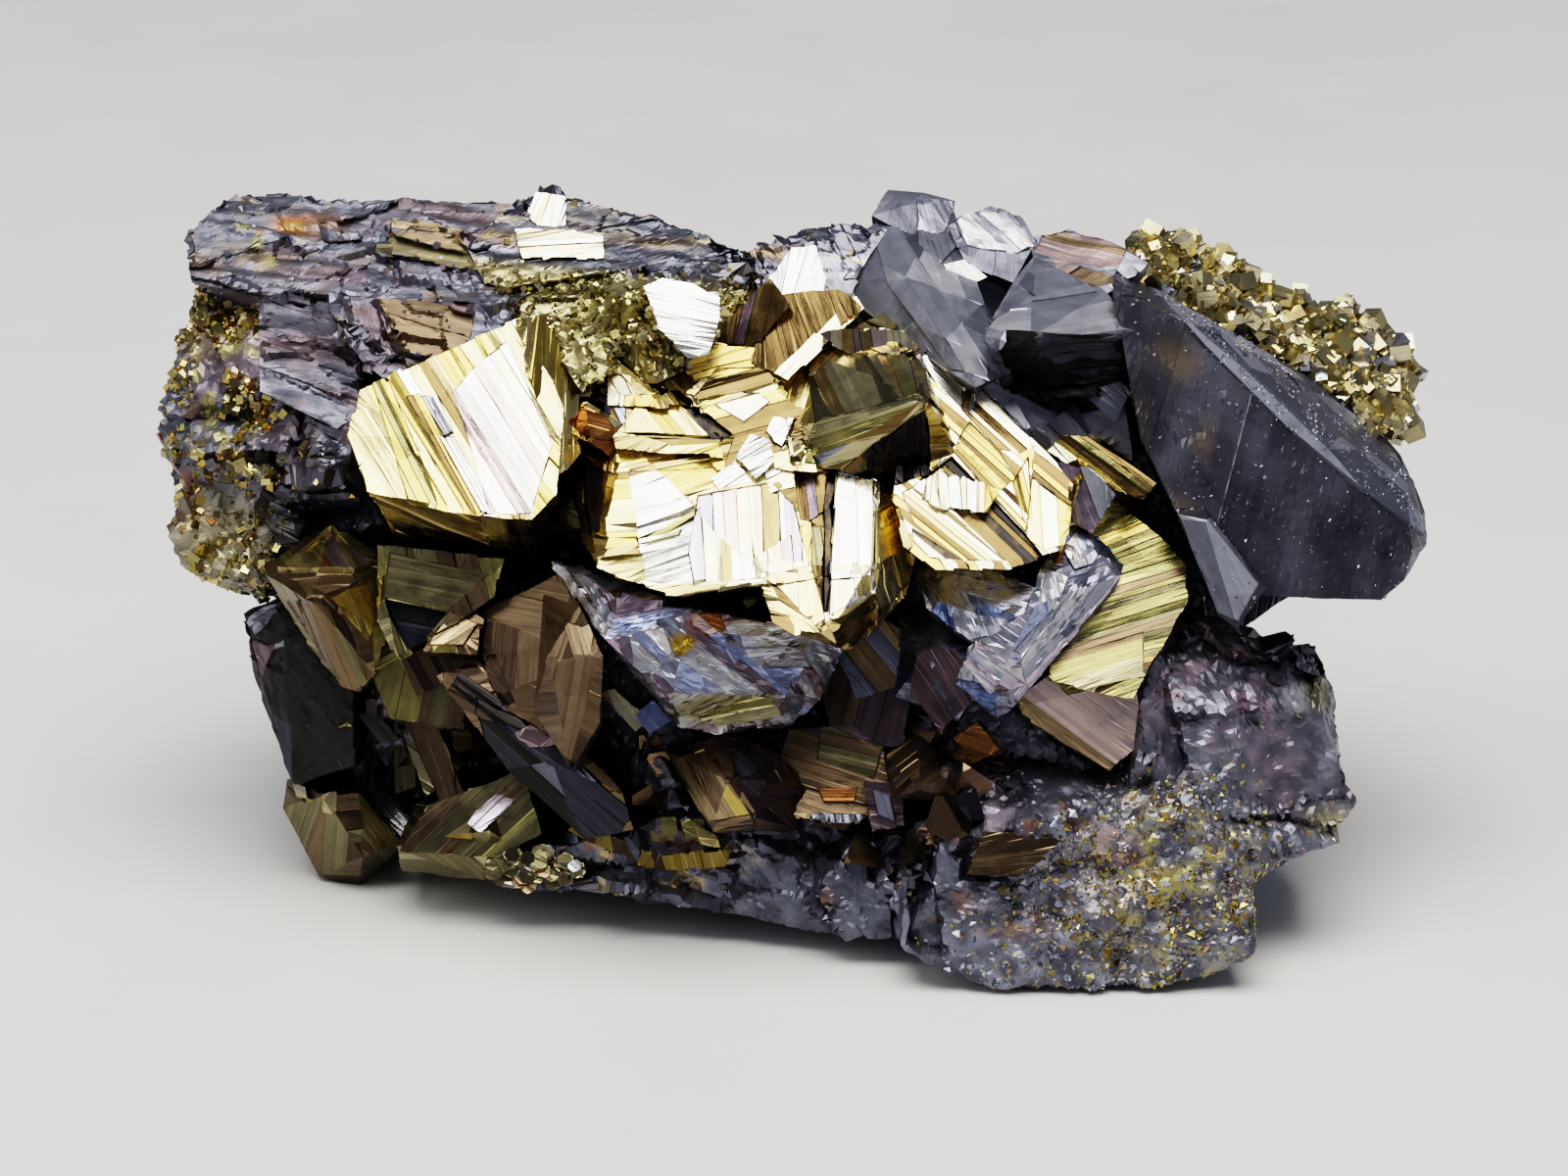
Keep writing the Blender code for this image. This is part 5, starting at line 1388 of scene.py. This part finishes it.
OLIVE_CHIPS = [
    chip([(-28.3, 13.6), (-27.1, 13.1), (-27, 10.7), (-28.1, 10.3)],
         look("khaki*2 brass", (0.1, -1), 1, 0.05), 1.4, (0.2, 0)),
    chip([(-27.6, 6), (-25.8, 8.9), (-19.2, 11.4), (-18, 7.2), (-21, 5.6)],
         look("khaki*3 olive bronze", (1, 0.9), 0.6, 0.1, 0.05), 0.5, (0.15, -0.1), 4, (-24, 6.6)),
    # Painted highlight: the white of this pink strip
    chip([(-19.5, 11.2), (-18.7, 10.6), (-22.1, 7.5), (-22.7, 7.9)],
         look("white*2 pink*2 lilac", (1, 0.95), 0.3, 0.1, 0.08), 1.4, (0.1, -0.6), 3, (-23, 7.4)),
    chip([(-32, 13.4), (-29.6, 12.6), (-29.2, 10.6), (-31.2, 11.2)], look("khaki bronze", (1, 1)), 0.6),
    chip([(-15.3, 7.3), (-14.7, 7.7), (-9.3, 5.3), (-9.7, 4.7)],
         look("deep_gold*2 gold bronze", (0.4, -1), 0.4, 0.2, 0.1), 0.35),
    chip([(-9.4, 5.3), (-4.3, 5.6), (-4.5, 5), (-9, 4.5)],
         look("deep_gold*2 gold bronze", (0.4, -1), 0.4, 0.2, 0.1), 0.35),
    chip([(-8.8, 8), (-8.1, 8), (-8, 7.3), (-8.7, 7.2)], look("gold olive"), 0.4),
    chip([(-7.3, 7.9), (-6.2, 7.9), (-6.1, 7.1), (-7, 7)], look("gold olive"), 0.4),
    chip([(-6.1, 7.4), (-5.3, 7), (-5, 6.4), (-5.8, 6.6)], look("gold pale_gold"), 0.4),
    chip([(2.8, 4.4), (3.7, 4.7), (4, 3.8), (3, 3.6)], look("gold olive"), 0.4),
    chip([(-13, 17.2), (-12.4, 17.4), (-10.2, 15.5), (-10.8, 14.9)], look("white_gold gold", (1, -1)), 0.6),
    chip([(-7.7, 16.6), (-4, 17.2), (-1, 16.8), (-0.6, 15.9), (-4.6, 15.4)],
         look("khaki*3 olive brass", (1, 0.1), 0.5, 0.3, 0.2, 0.1), 0.5),
    chip([(14.8, 7.2), (19.8, 6.5), (17, 4.2), (13.6, 4.4)], look("bronze*2 dark_bronze", (1, 0.2)), 0.5),
]

SLATE_CHIPS = [
    chip([(13.4, 49.5), (17.5, 49.6), (18.4, 48.2), (16.6, 43.8), (15.2, 43.4)],
         look("steel slate*2", (0.5, -1), 2, 0.1, 0.06, 0.03, 0.03), 0.2, (0.1, 0)),
    # Painted highlight: two small silver-white chips facing up, where the slate shows white glints
    chip([(12.2, 48.4), (13, 48.6), (14.3, 47.7), (13, 47.3)],
         look("silver*2 white", (1, -1)), 0.5, (0, -0.3)),
    chip([(14.1, 45.1), (15, 45.2), (15.1, 44.4)], look("silver*2", (1, -1)), 0.5, (0, -0.3)),
    chip([(15.4, 37.6), (16.7, 38.4), (17.6, 36.9), (16.4, 36.2)],
         look("silver steel", (1, -1)), 0.5, (0, -0.3)),
    chip([(17.4, 35.9), (18.6, 36.6), (19.3, 35.4)], look("steel slate", (1, -1)), 0.5),
    chip([(19.6, 37), (21, 37.8), (22, 36.4), (20.8, 35.8)], look("slate charcoal", (1, -1)), 0.6),
    chip([(22.4, 39), (23.6, 40.4), (25, 39.4), (24, 37.4)], look("charcoal*2 slate", (1, -1)), 0.6),
]

BRONZE_CHIPS = [
    chip([(-27.6, 15.6), (-26.2, 16.6), (-23.3, 9.8), (-25, 9.6)],
         look("bronze*3 khaki dark_bronze", (0.35, -1), 0.7, 0.12, 0.06), 0.8, (0.15, 0)),
    chip([(-19.2, 14.3), (-18.4, 14.7), (-17, 13.8), (-18.4, 13.7)], look("rose bronze", (1, -0.4)), 0.4),
    chip([(12.8, 14), (14, 14.8), (15.2, 13.4), (13.8, 12.6)], look("orange*2 bronze", (1, -0.4)), 0.6),
    chip([(-27.8, 19.8), (-25.4, 20.4), (-24.3, 18.6), (-26.6, 17.4)],
         look("bronze*2 khaki dark_bronze", (0.6, -1), 0.5, 0.12, 0.1), 0.4),
    chip([(4.2, 20), (7, 22.4), (9.6, 21), (8, 17.8), (5.4, 17.2)],
         look("slate charcoal bronze", (0.8, -1), 1, 0.1, 0.06), 0.6, (0.2, 0.1)),
    chip([(9.4, 17.6), (10, 20.2), (12.4, 20.4), (13.6, 17), (11.4, 14.8)],
         look("slate plum*2 dark_bronze", (0.6, -1), 1, 0.1, 0.06), 0.8, (0.15, 0.1)),
    chip([(8.2, 23.8), (10.8, 25.8), (12.6, 23.6), (11, 21.6), (8.8, 21.8)],
         look("steel*2 slate", (0.5, 1), 1, 0.1, 0.06), 0.5, (0.1, 0.2)),
]

CHIPS = {
    "bright_brass": BRASS_CHIPS, "blue_tarnish": BLUE_CHIPS, "olive_gold": OLIVE_CHIPS,
    "slate": SLATE_CHIPS, "bronze": BRONZE_CHIPS,
}


CLUMP_COUNT = 70
CLUMP_MIDDLE = (-18.4, 4.5)  # as the eye sees it, mm
CLUMP_REACH = (3.3, 1.2)  # to the right and up, mm
CLUMP_SIZES = (0.3, 0.6)  # from a crystal's middle to its corners, mm


def clump_chips():
    """The clump of pale rounded crystals at the lower edge of the ore."""
    dice = random.Random(11)
    style = look("khaki*3 tan*2 brass silver", (1, -0.5), 1, 0.05)
    made = []
    for _ in range(CLUMP_COUNT):
        way = dice.uniform(0, 2 * math.pi)
        reach = math.sqrt(dice.random())
        u = CLUMP_MIDDLE[0] + CLUMP_REACH[0] * reach * math.cos(way)
        v = CLUMP_MIDDLE[1] + CLUMP_REACH[1] * reach * math.sin(way)
        size = dice.uniform(*CLUMP_SIZES)
        corners = [way + side * math.pi / 3 for side in range(6)]
        outline = [(u + size * math.cos(turn), v + size * math.sin(turn)) for turn in corners]
        lean = (dice.uniform(-0.3, 0.3), dice.uniform(-0.4, 0.1))
        made.append(chip(outline, style, dice.uniform(0.3, 0.9), lean, 1.2))
    return made


# Grains


def form_of(corners):
    """The corners and triangles of the convex form around some points."""
    shape = bmesh.new()
    for corner in corners:
        shape.verts.new(corner)
    bmesh.ops.convex_hull(shape, input=shape.verts)
    bmesh.ops.triangulate(shape, faces=shape.faces)
    points, triangles = arrays_of(shape)
    shape.free()
    return points, triangles


def cube_form():
    return form_of([(x / 2, y / 2, z / 2) for x, y, z in itertools.product((-1, 1), repeat=3)])


def octahedron_form():
    axes = [Vector(axis) for axis in ((1, 0, 0), (0, 1, 0), (0, 0, 1))]
    return form_of([axis * side * OCTAHEDRON for axis in axes for side in (-1, 1)])


def wedge_form():
    """A tetrahedron with its tips cut off."""
    tips = [Vector(tip) * WEDGE for tip in ((1, 1, 1), (1, -1, -1), (-1, 1, -1), (-1, -1, 1))]
    return form_of([tip.lerp(other, TIP_CUT) for tip in tips for other in tips if tip is not other])


def grains(name, source, seed, count, sizes, tints, mask, form):
    """Small crystals strewn over a piece's open surface where the mask is high."""
    dice = np.random.default_rng(seed)
    points, triangles, seen = SURFACES[source]
    crosses = face_crosses(points, triangles)
    chance = np.linalg.norm(crosses, axis=1) * seen
    chance = chance * np.clip(mask(points[triangles].mean(axis=1)), 0, 1)
    picked = dice.choice(len(triangles), count, p=chance / chance.sum())
    share = dice.dirichlet((1, 1, 1), count)
    places = np.einsum("ij,ijk->ik", share, points[triangles[picked]])
    size = sizes[0] + (sizes[1] - sizes[0]) * dice.random(count) ** GRAIN_POWER
    stretch = size[:, None] * dice.uniform(*GRAIN_STRETCH, (count, 3)) * MM
    places = places - unit(crosses[picked]) * (size * SINK * MM)[:, None]
    turns, _ = np.linalg.qr(dice.normal(size=(count, 3, 3)))
    turns[:, :, 0] *= np.linalg.det(turns)[:, None]
    corners, faces = form()
    made = np.einsum("nij,nkj->nki", turns, corners[None] * stretch[:, None, :]) + places[:, None, :]
    made = made.reshape(-1, 3)
    made[:, 2] = np.maximum(made[:, 2], 0)
    numbers = (np.arange(count) * len(corners))[:, None, None] + faces[None]
    obj = mesh_object(name, made, numbers.reshape(-1, 3))
    chosen = np.array(tint_list(tints))[dice.integers(0, len(tint_list(tints)), count)]
    chosen = np.repeat(chosen * dice.uniform(*GRAIN_SHADES, (count, 1)), len(faces), axis=0)
    across = np.repeat(turns[:, :, 0], len(faces), axis=0)
    paint(obj, chosen, across, np.zeros(len(chosen)))
    return obj


def gold_in_druse(points):
    fine = noise(points, 1.6 * MM, 201)
    front = in_druse(points) * around(points, (28, 3), (11, 11)) * (0.25 + fine)
    return front + around(points, (-10, 5), (10, 3)) * (0.6 * fine - 0.2) + 0.004


def gold_at_left(points):
    fine = noise(points, 2 * MM, 203)
    druse = around(points, *LEFT_DRUSE) * (0.35 + 1.2 * fine)
    return druse + around(points, (-41, 28), (6, 6)) * 0.25


def in_the_cave(points):
    """The hollows under the left and middle crystals."""
    u, v, w = seen_at(points)
    return within(u, v, [(-31, 22), (14, 22), (14, 6), (-4, 5), (-31, 8)]) * in_front(w, -14)


def everywhere(points):
    return np.clip(0.5 + noise(points, 6 * MM, 205), 0, 1)


def crust_mask(points):
    return 0.6 + 0.4 * everywhere(points)


def crest_middle(points):
    """1 on the crest's grainy slope, outside its painted highlight."""
    u, v, w = seen_at(points)
    highlight_area = within(u, v, [(-10.2, 47.2), (-5, 47), (-4.6, 44), (-5.4, 41.8), (-7.2, 41.6), (-9.4, 44.3)])
    return (1 - 0.95 * ridge_part(points)) * (1 - highlight_area)


# Piece, slot, what it lies on, seed, count, sizes in millimetres, colours, place and form
STREWN = [
    ("druse_gold", "pyrite", "ore", 1, 2600, (0.3, 0.8),
     "gold*3 brass*3 olive*2 tan pale_gold", gold_in_druse, octahedron_form),
    ("left_gold", "pyrite", "ore", 2, 3000, (0.2, 0.8),
     "gold*2 brass*3 olive*3 pale_gold tan*2 rust", gold_at_left, cube_form),
    ("ore_grains", "ore", "ore", 3, 1200, (0.15, 0.45),
     "slate*3 steel*3 plum mauve silver", everywhere, cube_form),
    ("druse_grains", "ore", "ore", 9, 5500, (0.3, 0.75),
     "steel*3 slate*3 silver mauve*2 tan*2 olive*2", in_druse, octahedron_form),
    ("cave_crystals", "bronze", "ore", 7, 170, (1.2, 3.4),
     "bronze*3 dark_bronze charcoal*2 slate*2 plum tan", in_the_cave, wedge_form),
    ("crest_grains", "olive_gold", "crest_faces", 4, 2400, (0.2, 0.55),
     "brass*4 olive*2 pale_gold*2", crest_middle, cube_form),
    ("slab_grains", "rusty_slate", "tarnished_slab_faces", 5, 500, (0.15, 0.45),
     "slate*2 steel*2 plum mauve*2", everywhere, cube_form),
    ("bevel_specks", "slate", "charcoal_crystal_faces", 10, 4600, (0.12, 0.36),
     "silver steel*5 slate*5", on_the_bevel, octahedron_form),
    ("crust_cubes", "pyrite", "pyrite_crust_faces", 6, 2600, (0.4, 1.4),
     "brass*4 white_gold*3 pale_gold*2 silver", crust_mask, cube_form),
]


# Materials

LINES_ACROSS = 9000  # scale of the fine growth lines' noise across them, per metre
LINES_ALONG = 160  # the same along them
CLOUDS = 420  # scale of the patina's clouds
SPECKS = 3200  # scale of the small pits

FINISHES = {
    "bright_brass": dict(metal=1.0, rough=0.2, lines=0.3, patina="honey", spots=0.2),
    "olive_gold": dict(metal=1.0, rough=0.26, lines=0.6, patina="khaki", spots=0.3),
    "pyrite": dict(metal=1.0, rough=0.24, lines=0.4, patina="bronze", spots=0.3),
    "bronze": dict(metal=0.95, rough=0.28, lines=0.6, patina="black", spots=0.35),
    "blue_tarnish": dict(metal=0.9, rough=0.26, lines=0.5, patina="lilac", spots=0.4),
    "rainbow_tarnish": dict(metal=0.9, rough=0.26, lines=0.4, patina="plum", spots=0.5),
    "slate": dict(metal=0.8, rough=0.34, lines=0.3, patina="charcoal", spots=0.4),
    "charcoal": dict(metal=0.75, rough=0.36, lines=0.3, patina="black", spots=0.4),
    "rusty_slate": dict(metal=0.8, rough=0.38, lines=0.5, patina="plum", spots=0.4),
    "ore": dict(metal=0.75, rough=0.4, lines=0.3, patina="charcoal", spots=0.5),
}


class Nodes:
    """Short calls for building a node tree."""

    def __init__(self, tree):
        self.tree = tree

    def add(self, kind, links=None, **settings):
        node = self.tree.nodes.new(kind)
        for name, value in settings.items():
            setattr(node, name, value)
        for name, value in (links or {}).items():
            self.join(value, node.inputs[name])
        return node

    def join(self, value, socket):
        if isinstance(value, bpy.types.NodeSocket):
            self.tree.links.new(value, socket)
        else:
            socket.default_value = value

    def math(self, operation, first, second=0.0):
        return self.add("ShaderNodeMath", {0: first, 1: second}, operation=operation).outputs[0]

    def ramp(self, value, low, high, start=0.0, end=1.0):
        links = {"Value": value, "From Min": low, "From Max": high, "To Min": start, "To Max": end}
        return self.add("ShaderNodeMapRange", links, clamp=True).outputs[0]

    def noise(self, vector, scale, detail=3.0):
        links = {"Vector": vector, "Scale": scale, "Detail": detail, "Roughness": 0.6}
        return self.add("ShaderNodeTexNoise", links).outputs["Fac"]

    def vector(self, operation, first, second, output="Vector"):
        return self.add("ShaderNodeVectorMath", {0: first, 1: second}, operation=operation).outputs[output]

    def mix(self, factor, first, second, mode="MIX"):
        node = self.add("ShaderNodeMix", data_type="RGBA", blend_type=mode)
        for index, value in ((0, factor), (6, first), (7, second)):
            self.join(value, node.inputs[index])
        return node.outputs[2]


def crystal_material(slot, metal, rough, lines, patina, spots):
    """Tarnished metal with fine growth lines, cloudy patina and small pits."""
    made = bpy.data.materials.new(slot)
    made.use_nodes = True
    made.node_tree.nodes.clear()
    kit = Nodes(made.node_tree)
    place = kit.add("ShaderNodeTexCoord").outputs["Object"]
    tint = kit.add("ShaderNodeAttribute", attribute_name="tint").outputs["Color"]
    across = kit.add("ShaderNodeAttribute", attribute_name="grain").outputs["Vector"]
    dull = kit.add("ShaderNodeAttribute", attribute_name="dullness").outputs["Fac"]
    normal = kit.add("ShaderNodeNewGeometry").outputs["True Normal"]
    along = kit.vector("CROSS_PRODUCT", normal, across)
    over = kit.math("MULTIPLY", kit.vector("DOT_PRODUCT", place, across, "Value"), LINES_ACROSS)
    down = kit.math("MULTIPLY", kit.vector("DOT_PRODUCT", place, along, "Value"), LINES_ALONG)
    fine_lines = kit.noise(kit.add("ShaderNodeCombineXYZ", {"X": over, "Y": down}).outputs[0], 1.0, 2.0)
    clouds = kit.noise(place, CLOUDS, 5.0)
    specks = kit.noise(place, SPECKS, 2.0)
    shade = kit.ramp(fine_lines, 0.3, 0.7, 1 - 0.45 * lines, 1.08)
    shade = kit.math("MULTIPLY", shade, kit.ramp(clouds, 0.3, 0.7, 0.8, 1.1))
    grey = kit.add("ShaderNodeCombineColor", {"Red": shade, "Green": shade, "Blue": shade}).outputs[0]
    base = kit.mix(1.0, tint, grey, "MULTIPLY")
    patch_mask = kit.math("MULTIPLY", kit.ramp(clouds, 0.52, 0.68), spots)
    base = kit.mix(patch_mask, base, (*COLOURS[patina], 1))
    roughness = kit.math("ADD", kit.ramp(clouds, 0.35, 0.7, rough - 0.05, rough + 0.1), dull)
    roughness = kit.math("ADD", roughness, kit.ramp(fine_lines, 0.35, 0.65, 0.06, -0.03))
    height = kit.math("ADD", kit.math("MULTIPLY", fine_lines, lines), kit.math("MULTIPLY", specks, 0.35))
    bump = kit.add("ShaderNodeBump", {"Strength": 0.35, "Distance": 0.06 * MM, "Height": height}).outputs[0]
    shader = kit.add(
        "ShaderNodeBsdfPrincipled",
        {"Base Color": base, "Metallic": metal, "Roughness": roughness, "Normal": bump},
    )
    kit.add("ShaderNodeOutputMaterial", {"Surface": shader.outputs[0]})
    return made


# Stage

FLOOR_HALF = 1.5  # half the floor's side, m
FLOOR_TONES = (0.60, 0.66)  # darkest and palest grey of the floor
FLOOR_ROUGHNESS = 0.85
ROOM_COLOUR = (0.8, 0.85, 1, 1)
ROOM_LIGHT = 0.18
EXPOSURE = 0.45
NEAREST = 0.01  # the camera sees nothing closer than this, m


def floor():
    """A plain pale floor."""
    corners = [(x * FLOOR_HALF, y * FLOOR_HALF, 0) for x, y in ((-1, -1), (1, -1), (1, 1), (-1, 1))]
    obj = mesh_object("floor", np.array(corners, float), np.array([(0, 1, 2), (0, 2, 3)]))
    made = bpy.data.materials.new("floor")
    made.use_nodes = True
    kit = Nodes(made.node_tree)
    place = kit.add("ShaderNodeTexCoord").outputs["Object"]
    shader = made.node_tree.nodes["Principled BSDF"]
    tone = kit.ramp(kit.noise(place, 30, 4.0), 0.3, 0.7, *FLOOR_TONES)
    colour = kit.add("ShaderNodeCombineColor", {"Red": tone, "Green": tone, "Blue": tone}).outputs[0]
    kit.join(colour, shader.inputs["Base Color"])
    shader.inputs["Roughness"].default_value = FLOOR_ROUGHNESS
    obj.data.materials.append(made)


def area_light(name, way, distance, size, watts, colour, aim=(0, 0, 0.025)):
    """A soft rectangular light that shines on the specimen from that way."""
    data = bpy.data.lights.new(name, "AREA")
    data.color = colour
    data.shape = "RECTANGLE"
    data.size, data.size_y = size
    data.energy = watts
    obj = bpy.data.objects.new(name, data)
    way = Vector(way).normalized()
    obj.location = Vector(aim) + way * distance
    obj.rotation_euler = way.to_track_quat("Z", "Y").to_euler()
    bpy.context.scene.collection.objects.link(obj)


def stage():
    """The floor, the lights, the room and the photograph's camera."""
    floor()
    area_light("key", (0, -0.3, 0.95), 0.6, (0.55, 0.45), 4.6, (1, 0.96, 0.88))
    area_light("left", (-0.9, -0.3, 0.5), 0.7, (0.3, 0.5), 0.8, (1, 0.98, 0.95))
    world = bpy.data.worlds.new("room")
    world.use_nodes = True
    background = world.node_tree.nodes["Background"]
    background.inputs["Color"].default_value = ROOM_COLOUR
    background.inputs["Strength"].default_value = ROOM_LIGHT
    scene = bpy.context.scene
    scene.world = world
    scene.view_settings.view_transform = "Filmic"
    scene.view_settings.look = "High Contrast"
    scene.view_settings.exposure = EXPOSURE
    data = bpy.data.cameras.new("camera")
    data.sensor_width = SENSOR
    data.lens = SENSOR * PHOTO_SCALE * EYE / PHOTO_WIDTH
    data.clip_start = NEAREST
    camera = bpy.data.objects.new("camera", data)
    camera.location = EYE_POINT
    camera.rotation_euler = (math.pi / 2 - VIEW_TILT, 0, 0)
    scene.collection.objects.link(camera)
    scene.camera = camera


# Assembly

SLOTS = {
    "bright_crystals": "bright_brass",
    "blue_crystals": "blue_tarnish",
    "gold_plate": "olive_gold",
    "lower_block": "olive_gold",
    "foot_crystal": "olive_gold",
    "crest": "olive_gold",
    "charcoal_crystal": "charcoal",
    "left_dark_crystal": "charcoal",
    "slate_crystals": "slate",
    "back_wedges": "slate",
    "rainbow_crystal": "rainbow_tarnish",
    "bronze_plate": "bronze",
    "fin_crystals": "bronze",
    "lower_crystals": "bronze",
    "back_crystals": "bronze",
    "tarnished_slab": "rusty_slate",
    "pyrite_crust": "pyrite",
    "ore": "ore",
}


def settle(piece, slot, materials, *nodes):
    """Gives a piece its material and joins it to the specimen."""
    piece.data.materials.append(materials[slot])
    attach(piece, "root")
    if nodes:
        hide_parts(*nodes)


def main():
    """Builds every piece of the specimen and what stands around it."""
    materials = {slot: crystal_material(slot, **finish) for slot, finish in FINISHES.items()}
    for node, plan in CRYSTALS.items():
        settle(crystal_piece(node + "_faces", clean_shape(node), plan), SLOTS[node], materials, node)
    settle(ore_piece(), "ore", materials, "ore")
    for slot, chips in CHIPS.items():
        settle(chips_piece("small_crystals_" + slot, chips), slot, materials)
    settle(chips_piece("clump_crystals", clump_chips()), "pyrite", materials)
    for name, slot, source, *plan in STREWN:
        settle(grains(name, source, *plan), slot, materials)
    stage()


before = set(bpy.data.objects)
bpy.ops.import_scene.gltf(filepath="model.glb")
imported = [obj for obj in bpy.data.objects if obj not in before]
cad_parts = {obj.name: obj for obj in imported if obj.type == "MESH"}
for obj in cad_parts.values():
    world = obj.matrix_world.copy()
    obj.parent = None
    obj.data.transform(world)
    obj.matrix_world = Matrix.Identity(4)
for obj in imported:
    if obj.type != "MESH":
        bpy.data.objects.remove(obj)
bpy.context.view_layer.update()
TREE = outside_tree()
SURFACES = {}
main()
